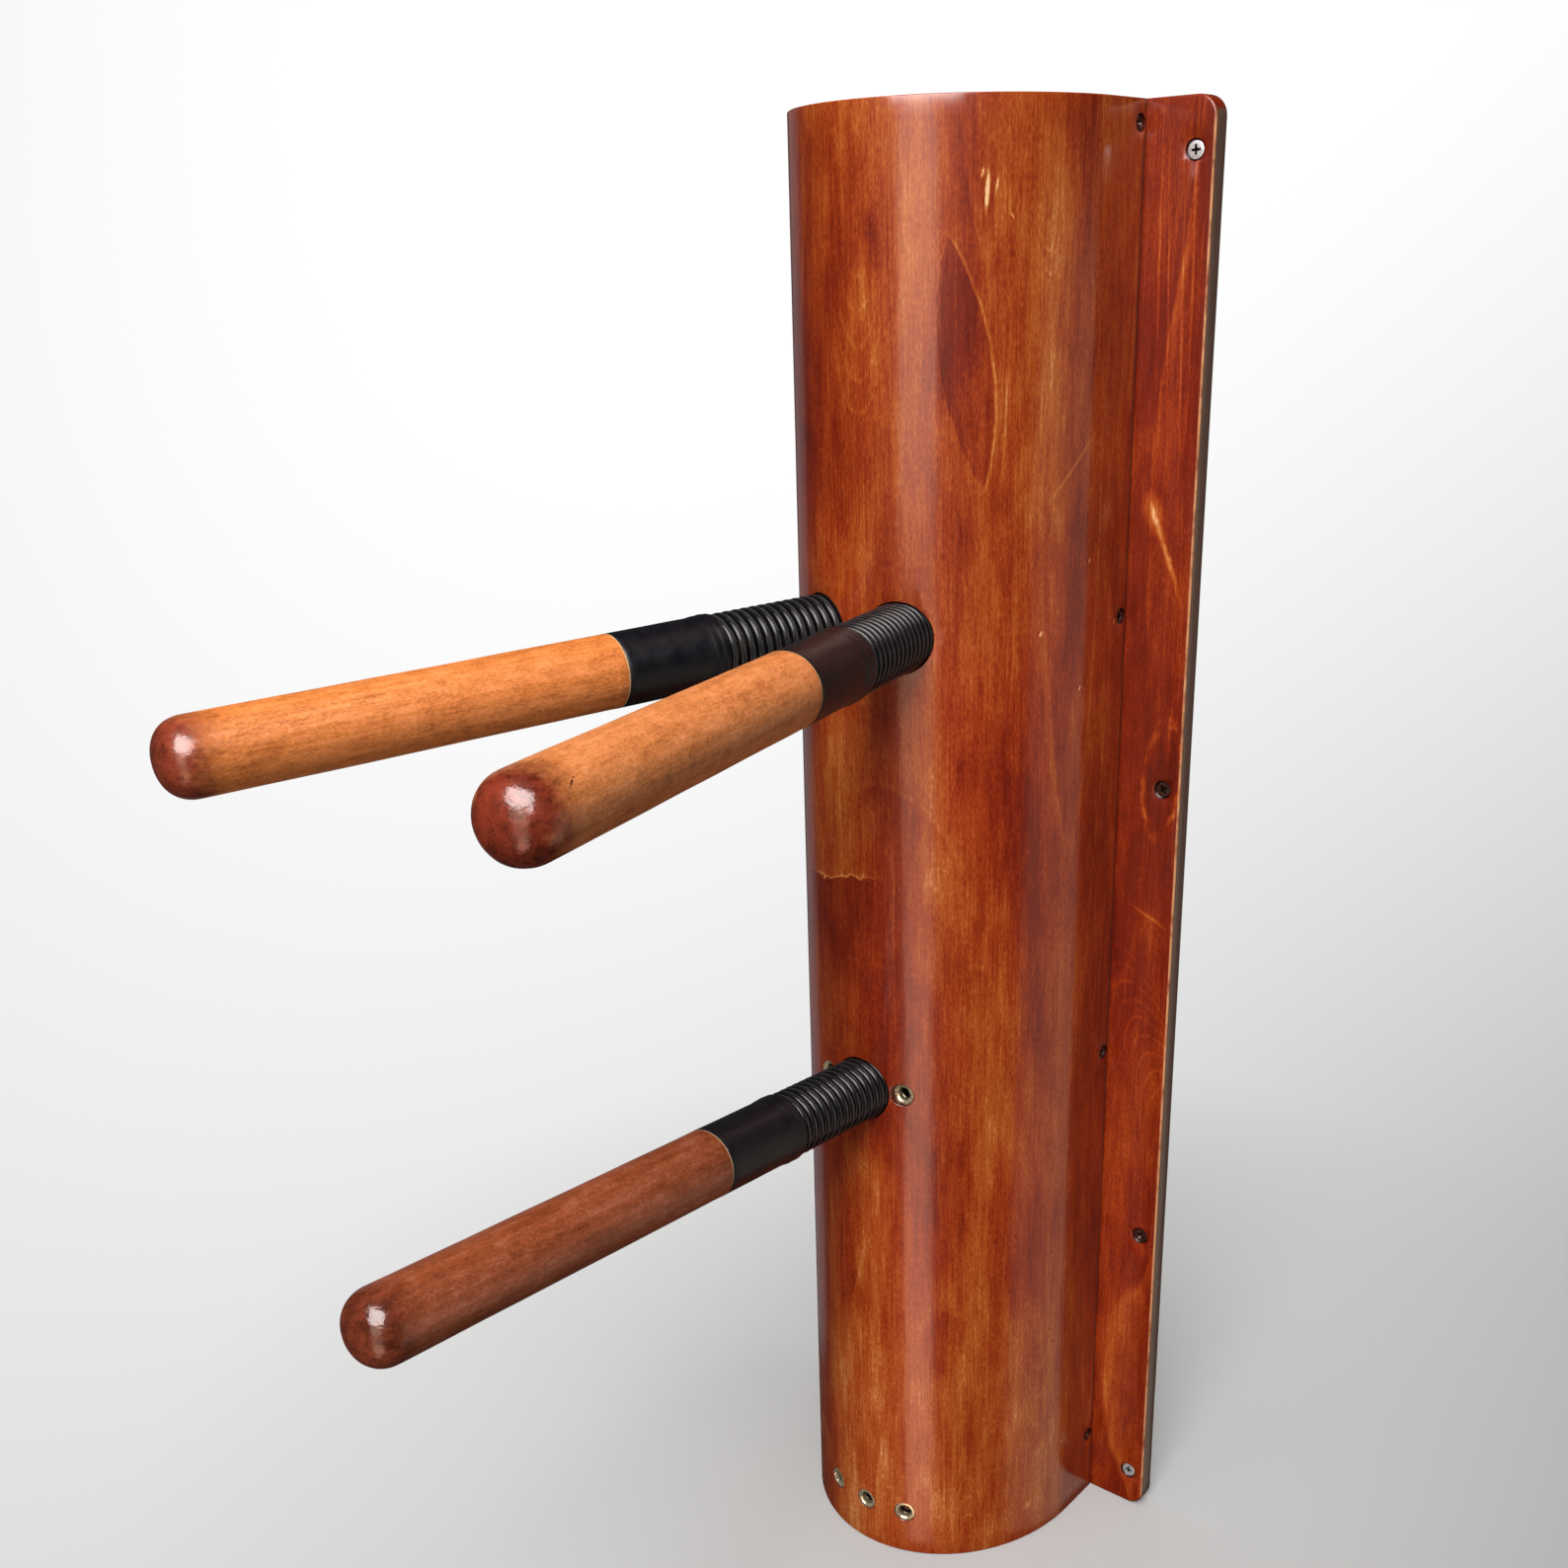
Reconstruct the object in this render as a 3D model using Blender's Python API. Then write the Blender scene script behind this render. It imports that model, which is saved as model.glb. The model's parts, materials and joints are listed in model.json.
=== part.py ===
"""Wall-mounted wing dummy: a half-round plywood trunk on a flat board, with three arms on coil springs.

X runs across the trunk, -Y points away from the wall and +Z is up. The origin is the middle of the board's
back face, which lies against the wall. Heights are counted from the foot. Along an arm, places are counted
outwards from the trunk's outer surface, so that they are negative inside the trunk.
"""

import math

import bmesh
import bpy
from mathutils import Matrix, Vector

# Trunk
HEIGHT = 0.975
TRUNK_HALF_WIDTH = 0.100
SIDE_LENGTH = 0.0365  # straight part of the shell's sides, from the board forwards
NOSE_DEPTH = 0.118  # from the end of the straight sides to the front of the trunk
SHELL_THICKNESS = 0.008
BOARD_THICKNESS = 0.014
FLANGE_WIDTH = 0.044
BOARD_CORNER_RADIUS = 0.012
GAP = 0.0003  # between pieces that touch
SIDES = (("left", -1), ("right", 1))  # each side's word and its sign in X
NOSE_STEPS = 30
ROUND_STEPS = 20  # facets round an arm
SMALL_STEPS = 12  # facets round a screw

# Pieces inside the trunk
END_RECESS = 0.002  # the formers lie this far inside the shell's ends
TOP_FORMER_HEIGHT = 0.024
FOOT_BLOCK_HEIGHT = 0.075
ARM_BLOCK_HEIGHT = 0.110
RAIL_WIDTH = 0.024
RAIL_DEPTH = 0.030

# Arms
UPPER_ARM_HEIGHT = 0.680
LOWER_ARM_HEIGHT = 0.3735
UPPER_ARM_OFFSET = 0.029
UPPER_ARM_SPLAY = math.radians(13.9)
ARM_LIFTS = {"upper_left": math.radians(-1.3), "upper_right": math.radians(0.6), "lower": math.radians(3.6)}
ARM_RADIUS = 0.0216
ARM_TIP = 0.413
ARM_DOME = 0.019
DOME_STEPS = 6
DOME_SQUARENESS = 2.3  # exponent of the dome's superellipse; 2 is an ellipse
SLEEVE_START = 0.083
SLEEVE_END = 0.151
SLEEVE_WALL = 0.0006
NECK_RADIUS = 0.0206
SPRING_START = -0.020
SPRING_END = 0.091
SPRING_RADIUS = 0.0214
WIRE_RADIUS = 0.0026
SPRING_PITCH = 0.0064
TENON_START = 0.066
TENON_RADIUS = 0.0154
TENON_CHAMFER = 0.002
PLUG_END = 0.002
PLUG_CHAMFER = 0.0015
PLUG_HEAD_BORE_RADIUS = 0.0098
PLUG_HEAD_BORE_DEPTH = 0.009
BOLT_RADIUS = 0.0040
BOLT_TIP = -0.078
BOLT_POINT = 0.004
BOLT_OVERLAP = 0.002  # how far the shank reaches into the head that it joins
BOLT_HEAD_RADIUS = 0.0072
BOLT_HEAD_HEIGHT = 0.0053
WASHER_RADIUS = 0.0090
WASHER_THICKNESS = 0.0016
BORE_CLEARANCE = 0.0004
BORE_BACK = 0.010  # from the spring's inner end to the end of the trunk's bore
SLEEVE_STEP = 0.002  # length of the sleeve's taper between the spring and the neck

# Wood screws
SCREW_RADIUS = 0.0022
SCREW_HEAD_HEIGHT = 0.0030
SCREW_HEAD_EDGE = 0.0004
FLANGE_HEAD_RADIUS = 0.0051
SIDE_HEAD_RADIUS = 0.0042
COUNTERSINK_MARGIN = 0.0010  # from a head's edge to its countersink's
FLANGE_SCREW_OFFSET = 0.1317
FLANGE_SCREW_HEIGHTS = (0.028, 0.233, 0.566, 0.946)
FLANGE_SCREW_SINK = 0.0010
SIDE_SCREW_FORWARD = 0.0205  # from the wall
SIDE_SCREW_HEIGHTS = (0.050, 0.372, 0.677, 0.962)
SIDE_SCREW_SINK = 0.0014
SIDE_SCREW_LENGTH = 0.028
PILOT_MARGIN = 0.001  # from a screw's point to the end of its hole

# Threaded inserts
INSERT_OFFSET = 0.0305
FOOT_INSERT_HEIGHT = 0.0352
ARM_INSERT_HEIGHT = 0.375
INSERT_RIM_RADIUS = 0.0075
INSERT_RIM_THICKNESS = 0.0012
INSERT_BODY_RADIUS = 0.0062
INSERT_BORE_RADIUS = 0.0050
INSERT_LENGTH = 0.016
INSERT_SINK = 0.0004
ARM_INSERT_SINK = 0.0016  # added, because the trunk's surface slopes away there

# Cutters
HOLE_MARGIN = 0.004  # how far a screw's or an insert's cutter stands out of the wood at either end
ARM_BORE_REACH = 0.030  # how far an arm's cutter stands out of the trunk, which curves away from the arm

WOOD_RED = (0.30, 0.075, 0.025)
WOOD_ORANGE = (0.46, 0.17, 0.055)
WOOD_BARE = (0.62, 0.46, 0.28)
BLACK_STEEL = (0.015, 0.015, 0.017)
BLACK_SLEEVE = (0.012, 0.012, 0.013)
ZINC = (0.72, 0.72, 0.74)
DARK_STEEL = (0.05, 0.03, 0.03)
BRASS = (0.72, 0.56, 0.28)


def level(height):
    """The Z of a height above the foot."""
    return height - HEIGHT / 2


def clear_scene():
    for old in list(bpy.data.objects):
        bpy.data.objects.remove(old, do_unlink=True)


def material(name, colour, roughness, metallic=0.0):
    made = bpy.data.materials.new(name)
    made.use_nodes = True
    shader = made.node_tree.nodes["Principled BSDF"]
    shader.inputs["Base Color"].default_value = (*colour, 1.0)
    shader.inputs["Roughness"].default_value = roughness
    shader.inputs["Metallic"].default_value = metallic
    made.diffuse_color = (*colour, 1.0)
    return made


def add_object(name, bm, look, place=None):
    bmesh.ops.recalc_face_normals(bm, faces=bm.faces)
    mesh = bpy.data.meshes.new(name)
    bm.to_mesh(mesh)
    bm.free()
    mesh.shade_smooth()
    mesh.set_sharp_from_angle(angle=math.radians(35))
    obj = bpy.data.objects.new(name, mesh)
    bpy.context.collection.objects.link(obj)
    if place:
        obj.matrix_world = place
    if look:
        mesh.materials.append(look)
    return obj


def turned(name, profile, look, place, hollow=False, steps=ROUND_STEPS):
    """A profile of (radius, along) points turned about local Z; a hollow piece's profile is a closed loop."""
    bm = bmesh.new()
    rings = []
    for radius, along in profile:
        if radius == 0:
            rings.append([bm.verts.new((0, 0, along))])
            continue
        angles = [2 * math.pi * k / steps for k in range(steps)]
        rings.append([bm.verts.new((radius * math.cos(a), radius * math.sin(a), along)) for a in angles])
    pairs = list(zip(rings, rings[1:]))
    if hollow:
        pairs.append((rings[-1], rings[0]))
    for low, high in pairs:
        for k in range(steps):
            after = (k + 1) % steps
            lower = [low[k % len(low)], low[after % len(low)]]
            upper = [high[after % len(high)], high[k % len(high)]]
            bm.faces.new(list(dict.fromkeys(lower + upper)))
    return add_object(name, bm, look, place)


def prism(name, outline, low, high, look):
    """An outline in X and Y raised from one Z to another."""
    bm = bmesh.new()
    bottom = bm.faces.new([bm.verts.new((x, y, low)) for x, y in outline])
    raised = bmesh.ops.extrude_face_region(bm, geom=[bottom])
    moved = [item for item in raised["geom"] if isinstance(item, bmesh.types.BMVert)]
    bmesh.ops.translate(bm, verts=moved, vec=(0, 0, high - low))
    return add_object(name, bm, look)


def cut(obj, *cutters):
    for cutter in cutters:
        cutter.hide_render = True
        cutter.display_type = "WIRE"
        hole = obj.modifiers.new(cutter.name, "BOOLEAN")
        hole.operation = "DIFFERENCE"
        hole.solver = "EXACT"
        hole.object = cutter


def facing(point, direction):
    """A frame at a point whose local Z is the direction and whose local Y leans upwards."""
    along = Vector(direction).normalized()
    across = Vector((0, 0, 1)).cross(along).normalized()
    upward = along.cross(across)
    frame = Matrix((across, upward, along)).transposed().to_4x4()
    return Matrix.Translation(point) @ frame


def trunk_front(x):
    """The Y of the trunk's outer surface at this X."""
    return -(BOARD_THICKNESS + SIDE_LENGTH) - NOSE_DEPTH * math.sqrt(1 - (x / TRUNK_HALF_WIDTH) ** 2)


def trunk_normal(x):
    """The outward direction of the trunk's nose at this X."""
    forward = -trunk_front(x) - BOARD_THICKNESS - SIDE_LENGTH
    return Vector((x / TRUNK_HALF_WIDTH**2, -forward / NOSE_DEPTH**2, 0)).normalized()


def nose(inset):
    """Points round the nose at an inset from the outer surface, from +X to -X."""
    points = []
    for k in range(NOSE_STEPS + 1):
        angle = math.pi * k / NOSE_STEPS
        x = (TRUNK_HALF_WIDTH - inset) * math.cos(angle)
        y = -(BOARD_THICKNESS + SIDE_LENGTH) - (NOSE_DEPTH - inset) * math.sin(angle)
        points.append((x, y))
    return points


def half_round(inset, back):
    """The outline of a block that fills the trunk's section at an inset, down to the plane y = back."""
    half = TRUNK_HALF_WIDTH - inset
    return [(half, back), *nose(inset), (-half, back)]


def shell(look):
    back = -BOARD_THICKNESS - GAP
    half = TRUNK_HALF_WIDTH - SHELL_THICKNESS
    inner = [(half, back), *nose(SHELL_THICKNESS), (-half, back)]
    outline = half_round(0, back) + inner[::-1]
    return prism("trunk_shell", outline, level(0), level(HEIGHT), look)


def board(look):
    half = TRUNK_HALF_WIDTH + FLANGE_WIDTH
    radius = BOARD_CORNER_RADIUS
    outline = []
    for turn, (x, z) in enumerate([(half, HEIGHT), (-half, HEIGHT), (-half, 0), (half, 0)]):
        centre_x = x - math.copysign(radius, x)
        centre_z = level(z) + (radius if z == 0 else -radius)
        for k in range(7):
            angle = math.pi / 2 * (turn + k / 6)
            outline.append((centre_x + radius * math.cos(angle), centre_z + radius * math.sin(angle)))
    bm = bmesh.new()
    face = bm.faces.new([bm.verts.new((x, 0, z)) for x, z in outline])
    raised = bmesh.ops.extrude_face_region(bm, geom=[face])
    moved = [item for item in raised["geom"] if isinstance(item, bmesh.types.BMVert)]
    bmesh.ops.translate(bm, verts=moved, vec=(0, -BOARD_THICKNESS, 0))
    return add_object("back_board", bm, look)


def rail(name, side, look):
    outer = side * (TRUNK_HALF_WIDTH - SHELL_THICKNESS - GAP)
    inner = outer - side * RAIL_WIDTH
    back = -BOARD_THICKNESS - GAP
    front = back - RAIL_DEPTH
    low = level(END_RECESS + FOOT_BLOCK_HEIGHT + GAP)
    high = level(HEIGHT - END_RECESS - TOP_FORMER_HEIGHT - GAP)
    return prism(name, [(outer, back), (outer, front), (inner, front), (inner, back)], low, high, look)


def coil(name, look, place):
    """A close-wound spring with blunt ends: a helix with a four-sided wire."""
    steps = SMALL_STEPS
    sides = 4
    centre_radius = SPRING_RADIUS - WIRE_RADIUS
    first = SPRING_START + WIRE_RADIUS
    turns = (SPRING_END - WIRE_RADIUS - first) / SPRING_PITCH
    count = round(turns * steps)
    bm = bmesh.new()
    rings = []
    for k in range(count + 1):
        angle = 2 * math.pi * turns * k / count
        outward = Vector((math.cos(angle), math.sin(angle), 0))
        middle = outward * centre_radius + Vector((0, 0, first + SPRING_PITCH * turns * k / count))
        ring = []
        for side in range(sides):
            phase = 2 * math.pi * side / sides
            round_wire = outward * math.cos(phase) + Vector((0, 0, math.sin(phase)))
            ring.append(bm.verts.new(middle + WIRE_RADIUS * round_wire))
        rings.append(ring)
    for low, high in zip(rings, rings[1:]):
        for side in range(sides):
            after = (side + 1) % sides
            bm.faces.new((low[side], low[after], high[after], high[side]))
    bm.faces.new(rings[0])
    bm.faces.new(rings[-1])
    return add_object(name, bm, look, place)


def wood_screw(name, place, length, head_radius, look):
    """A countersunk screw whose head lies at the frame's origin and whose shank runs along -Z."""
    profile = [
        (0, 0),
        (head_radius, 0),
        (head_radius, -SCREW_HEAD_EDGE),
        (SCREW_RADIUS, -SCREW_HEAD_HEIGHT),
        (SCREW_RADIUS, -length + SCREW_RADIUS),
        (SCREW_RADIUS / 2, -length),
        (0, -length),
    ]
    return turned(name, profile, look, place, steps=SMALL_STEPS)


def screw_hole(name, place, length, head_radius, sink):
    """The countersunk hole of a wood screw, with its mouth open above the surface."""
    clear = SCREW_RADIUS + BORE_CLEARANCE
    mouth = head_radius + COUNTERSINK_MARGIN
    bottom = -SCREW_HEAD_HEIGHT - BORE_CLEARANCE
    profile = [
        (0, sink + HOLE_MARGIN),
        (mouth, sink + HOLE_MARGIN),
        (mouth, -BORE_CLEARANCE),
        (clear, bottom),
        (clear, -length),
        (0, -length),
    ]
    return turned(name, profile, None, place, steps=SMALL_STEPS)


def bore(name, place, radius, low, high, steps=ROUND_STEPS):
    return turned(name, [(0, high), (radius, high), (radius, low), (0, low)], None, place, steps=steps)


def handle(name, look, place):
    """A turned arm: tenon inside the spring, neck under the sleeve, body and domed tip."""
    profile = [
        (0, TENON_START),
        (TENON_RADIUS - TENON_CHAMFER, TENON_START),
        (TENON_RADIUS, TENON_START + TENON_CHAMFER),
        (TENON_RADIUS, SPRING_END + GAP),
        (NECK_RADIUS, SPRING_END + GAP),
        (NECK_RADIUS, SLEEVE_END + GAP),
        (ARM_RADIUS, SLEEVE_END + GAP),
    ]
    power = 2 / DOME_SQUARENESS
    for k in range(DOME_STEPS):
        angle = math.pi / 2 * k / DOME_STEPS
        rise = ARM_DOME * math.sin(angle) ** power
        profile.append((ARM_RADIUS * math.cos(angle) ** power, ARM_TIP - ARM_DOME + rise))
    profile.append((0, ARM_TIP))
    return turned(name, profile, look, place)


def sleeve(name, look, place):
    """A tube that covers the spring's last turns and the handle's neck."""
    wide = SPRING_RADIUS + BORE_CLEARANCE
    narrow = NECK_RADIUS + GAP
    outer = ARM_RADIUS
    step = SPRING_END + GAP + SLEEVE_STEP
    profile = [
        (wide, SLEEVE_START),
        (wide + SLEEVE_WALL, SLEEVE_START),
        (wide + SLEEVE_WALL, SPRING_END),
        (outer, step + SLEEVE_STEP),
        (outer, SLEEVE_END),
        (narrow, SLEEVE_END),
        (narrow, step),
        (wide, SPRING_END + GAP),
    ]
    return turned(name, profile, look, place, hollow=True)


def root_plug(name, look, place):
    """The turned plug that the spring's inner end grips, with a stepped bore for its bolt."""
    low = SPRING_START + GAP
    seat = PLUG_END - PLUG_HEAD_BORE_DEPTH
    clear = BOLT_RADIUS + BORE_CLEARANCE
    profile = [
        (clear, low),
        (TENON_RADIUS, low),
        (TENON_RADIUS, PLUG_END - PLUG_CHAMFER),
        (TENON_RADIUS - PLUG_CHAMFER, PLUG_END),
        (PLUG_HEAD_BORE_RADIUS, PLUG_END),
        (PLUG_HEAD_BORE_RADIUS, seat),
        (clear, seat),
    ]
    return turned(name, profile, look, place, hollow=True)


def washer(name, look, place):
    low = PLUG_END - PLUG_HEAD_BORE_DEPTH + GAP
    high = low + WASHER_THICKNESS
    inner = BOLT_RADIUS + BORE_CLEARANCE
    profile = [(inner, low), (WASHER_RADIUS, low), (WASHER_RADIUS, high), (inner, high)]
    return turned(name, profile, look, place, hollow=True)


def coach_bolt(name, look, place):
    """A hexagon-headed bolt driven from the front, through the plug and into the arm block."""
    under = PLUG_END - PLUG_HEAD_BORE_DEPTH + WASHER_THICKNESS + 2 * GAP
    profile = [
        (0, under + BOLT_OVERLAP),
        (BOLT_RADIUS, under + BOLT_OVERLAP),
        (BOLT_RADIUS, BOLT_TIP + BOLT_POINT),
        (0, BOLT_TIP),
    ]
    shank = turned(name, profile, look, place, steps=SMALL_STEPS)
    top = under + BOLT_HEAD_HEIGHT
    profile = [(0, top), (BOLT_HEAD_RADIUS, top), (BOLT_HEAD_RADIUS, under), (0, under)]
    head = turned(name + "_head", profile, None, place, steps=6)
    head.hide_render = True
    head.display_type = "WIRE"
    join = shank.modifiers.new("head", "BOOLEAN")
    join.operation = "UNION"
    join.solver = "EXACT"
    join.object = head
    return shank


def insert(name, look, place):
    """A hollow threaded insert whose rim is sunk slightly into the trunk's surface."""
    top = -INSERT_SINK
    under = top - INSERT_RIM_THICKNESS
    profile = [
        (INSERT_BORE_RADIUS, top),
        (INSERT_RIM_RADIUS, top),
        (INSERT_RIM_RADIUS, under),
        (INSERT_BODY_RADIUS, under),
        (INSERT_BODY_RADIUS, -INSERT_LENGTH),
        (INSERT_BORE_RADIUS, -INSERT_LENGTH),
    ]
    return turned(name, profile, look, place, hollow=True, steps=SMALL_STEPS)


def insert_hole(name, place):
    """The stepped hole of an insert: rim seat at the mouth, body below."""
    seat = -INSERT_SINK - INSERT_RIM_THICKNESS - GAP
    rim = INSERT_RIM_RADIUS + GAP
    body = INSERT_BODY_RADIUS + GAP
    end = -INSERT_LENGTH - HOLE_MARGIN / 2
    mouth = HOLE_MARGIN + ARM_INSERT_SINK
    profile = [(0, mouth), (rim, mouth), (rim, seat), (body, seat), (body, end), (0, end)]
    return turned(name, profile, None, place, steps=SMALL_STEPS)


def arm_frames():
    """Each arm's name and its axis's frame: the origin is on the trunk's surface and +Z points outwards."""
    frames = {}
    for name, side, height in (
        ("upper_left", -1, UPPER_ARM_HEIGHT),
        ("upper_right", 1, UPPER_ARM_HEIGHT),
        ("lower", 0, LOWER_ARM_HEIGHT),
    ):
        x = side * UPPER_ARM_OFFSET
        turn = side * UPPER_ARM_SPLAY
        flat = math.cos(ARM_LIFTS[name])
        along = (math.sin(turn) * flat, -math.cos(turn) * flat, math.sin(ARM_LIFTS[name]))
        frames[name] = facing(Vector((x, trunk_front(x), level(height))), along)
    return frames


def insert_frames():
    """The foot row is square to the surface; the pair beside the lower arm is drilled straight back."""
    frames = {}
    for word, side in (("left", -1), ("middle", 0), ("right", 1)):
        x = side * INSERT_OFFSET
        front = trunk_front(x)
        mouth = Vector((x, front, level(FOOT_INSERT_HEIGHT)))
        frames["insert_foot_" + word] = facing(mouth, trunk_normal(x))
        if side:
            mouth = Vector((x, front + ARM_INSERT_SINK, level(ARM_INSERT_HEIGHT)))
            frames["insert_arm_" + word] = facing(mouth, (0, -1, 0))
    return frames


def make_arm(name, place, looks, trunk, block):
    clear = SPRING_RADIUS + BORE_CLEARANCE
    pilot = BOLT_RADIUS + BORE_CLEARANCE
    cut(trunk, bore(name + "_trunk_bore", place, clear, SPRING_START - BORE_BACK, ARM_BORE_REACH))
    cut(block, bore(name + "_block_bore", place, clear, SPRING_START - GAP, ARM_BORE_REACH))
    cut(block, bore(name + "_pilot_bore", place, pilot, BOLT_TIP - BOLT_OVERLAP, 0.0, SMALL_STEPS))
    coil(name + "_spring", looks["black_steel"], place)
    handle(name + "_handle", looks["wood_orange"], place)
    sleeve(name + "_sleeve", looks["black_sleeve"], place)
    root_plug(name + "_root_plug", looks["wood_bare"], place)
    washer(name + "_washer", looks["zinc"], place)
    coach_bolt(name + "_root_bolt", looks["zinc"], place)


def main():
    clear_scene()
    looks = {
        "wood_red": material("wood_red", WOOD_RED, 0.3),
        "wood_orange": material("wood_orange", WOOD_ORANGE, 0.35),
        "wood_bare": material("wood_bare", WOOD_BARE, 0.7),
        "black_steel": material("black_steel", BLACK_STEEL, 0.4, 0.6),
        "black_sleeve": material("black_sleeve", BLACK_SLEEVE, 0.45),
        "zinc": material("zinc", ZINC, 0.3, 1.0),
        "dark_steel": material("dark_steel", DARK_STEEL, 0.35, 0.5),
        "brass": material("brass", BRASS, 0.3, 1.0),
    }
    inside = SHELL_THICKNESS + GAP
    board_face = -BOARD_THICKNESS - GAP
    block_back = board_face - RAIL_DEPTH - GAP

    trunk = shell(looks["wood_red"])
    back = board(looks["wood_red"])
    rails = {side: rail("side_rail_" + word, side, looks["wood_bare"]) for word, side in SIDES}
    section = half_round(inside, board_face)
    top_high = HEIGHT - END_RECESS
    top_low = top_high - TOP_FORMER_HEIGHT
    top = prism("top_former", section, level(top_low), level(top_high), looks["wood_bare"])
    foot_high = END_RECESS + FOOT_BLOCK_HEIGHT
    foot = prism("foot_block", section, level(END_RECESS), level(foot_high), looks["wood_bare"])
    arm_section = half_round(inside, block_back)
    blocks = {}
    for word, height in (("upper", UPPER_ARM_HEIGHT), ("lower", LOWER_ARM_HEIGHT)):
        low = level(height - ARM_BLOCK_HEIGHT / 2)
        high = low + ARM_BLOCK_HEIGHT
        blocks[word] = prism(word + "_arm_block", arm_section, low, high, looks["wood_bare"])

    for name, place in arm_frames().items():
        make_arm(name, place, looks, trunk, blocks[name.split("_")[0]])

    for name, place in insert_frames().items():
        insert(name, looks["brass"], place)
        cut(trunk, insert_hole(name + "_trunk_hole", place))
        cut(foot if "foot" in name else blocks["lower"], insert_hole(name + "_block_hole", place))

    for word, side in SIDES:
        for number, height in enumerate(FLANGE_SCREW_HEIGHTS, 1):
            head = Vector((side * FLANGE_SCREW_OFFSET, FLANGE_SCREW_SINK - BOARD_THICKNESS, level(height)))
            place = facing(head, (0, -1, 0))
            name = f"flange_screw_{word}_{number}"
            end_screw = number in (1, len(FLANGE_SCREW_HEIGHTS))
            length = BOARD_THICKNESS - FLANGE_SCREW_SINK - 2 * GAP
            wood_screw(name, place, length, FLANGE_HEAD_RADIUS, looks["zinc" if end_screw else "dark_steel"])
            depth = BOARD_THICKNESS + HOLE_MARGIN
            cut(back, screw_hole(name + "_hole", place, depth, FLANGE_HEAD_RADIUS, FLANGE_SCREW_SINK))
        for number, height in enumerate(SIDE_SCREW_HEIGHTS, 1):
            head = Vector((side * (TRUNK_HALF_WIDTH - SIDE_SCREW_SINK), -SIDE_SCREW_FORWARD, level(height)))
            place = facing(head, (side, 0, 0))
            name = f"side_screw_{word}_{number}"
            wood_screw(name, place, SIDE_SCREW_LENGTH, SIDE_HEAD_RADIUS, looks["dark_steel"])
            depth = SHELL_THICKNESS + HOLE_MARGIN
            cut(trunk, screw_hole(name + "_trunk_hole", place, depth, SIDE_HEAD_RADIUS, SIDE_SCREW_SINK))
            holder = {1: foot, len(SIDE_SCREW_HEIGHTS): top}.get(number, rails[side])
            clear = SCREW_RADIUS + BORE_CLEARANCE
            low = -SIDE_SCREW_LENGTH - PILOT_MARGIN
            cut(holder, bore(name + "_bore", place, clear, low, HOLE_MARGIN, SMALL_STEPS))


main()
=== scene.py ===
"""Looks of the wall-mounted wing dummy: a stained plywood trunk on a board, with three arms on coil springs.

X runs across the trunk, -Y points away from the wall and +Z is up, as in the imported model. Along an arm,
places are counted outwards from the trunk's surface. Pieces carry a "grain" attribute: their own coordinates
in metres, whose Z runs along the grain.
"""

import json
import math

import bmesh
import bpy
import numpy as np
from mathutils import Matrix, Vector, noise
from mathutils.geometry import delaunay_2d_cdt


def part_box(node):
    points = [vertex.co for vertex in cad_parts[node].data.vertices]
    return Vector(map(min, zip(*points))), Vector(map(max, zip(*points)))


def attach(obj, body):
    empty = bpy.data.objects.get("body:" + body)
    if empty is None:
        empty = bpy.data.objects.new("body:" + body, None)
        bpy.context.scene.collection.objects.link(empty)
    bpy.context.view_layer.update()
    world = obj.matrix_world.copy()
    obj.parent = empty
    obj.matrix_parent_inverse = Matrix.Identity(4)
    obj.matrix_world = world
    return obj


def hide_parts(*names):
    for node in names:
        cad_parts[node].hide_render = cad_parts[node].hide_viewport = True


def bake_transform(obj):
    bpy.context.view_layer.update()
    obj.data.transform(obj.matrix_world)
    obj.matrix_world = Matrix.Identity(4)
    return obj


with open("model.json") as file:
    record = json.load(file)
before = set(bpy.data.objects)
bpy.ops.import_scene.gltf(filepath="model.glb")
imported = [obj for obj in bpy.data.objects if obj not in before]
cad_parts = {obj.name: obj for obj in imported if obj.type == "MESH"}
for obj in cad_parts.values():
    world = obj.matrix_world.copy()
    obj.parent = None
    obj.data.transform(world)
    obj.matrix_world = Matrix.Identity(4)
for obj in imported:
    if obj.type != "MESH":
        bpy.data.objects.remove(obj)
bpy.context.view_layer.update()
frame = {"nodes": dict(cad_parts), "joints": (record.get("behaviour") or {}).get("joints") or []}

# Trunk and board, from the frame
SHELL_LOW, SHELL_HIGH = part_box("trunk_shell")
BOARD_LOW, BOARD_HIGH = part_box("back_board")
TRUNK_HALF = SHELL_HIGH.x
SHELL_BACK = SHELL_HIGH.y
FOOT = SHELL_LOW.z
TOP = SHELL_HIGH.z
NOSE_DEPTH = 0.118
NOSE_CENTRE = SHELL_LOW.y + NOSE_DEPTH  # y at which the straight sides end and the nose begins
SHELL_THICKNESS = 0.008
BOARD_FACE = BOARD_LOW.y
BOARD_THICKNESS = BOARD_HIGH.y - BOARD_LOW.y
BOARD_CORNER = 0.012
SHELL_CORNER = 0.001
SHELL_EDGE = 0.0008
BOARD_EDGE = 0.0014
GAP = 0.0003
WAVE = 0.00022  # how far the bent plywood swells and dips
PLY_PAIR = 0.0028  # one light and one dark ply
HIDDEN_ROWS = 0.1  # between the grid lines of a panel's hidden surface
GRID_MARGIN = 0.0015  # kept clear between the grid and a panel's edges and bores

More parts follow.
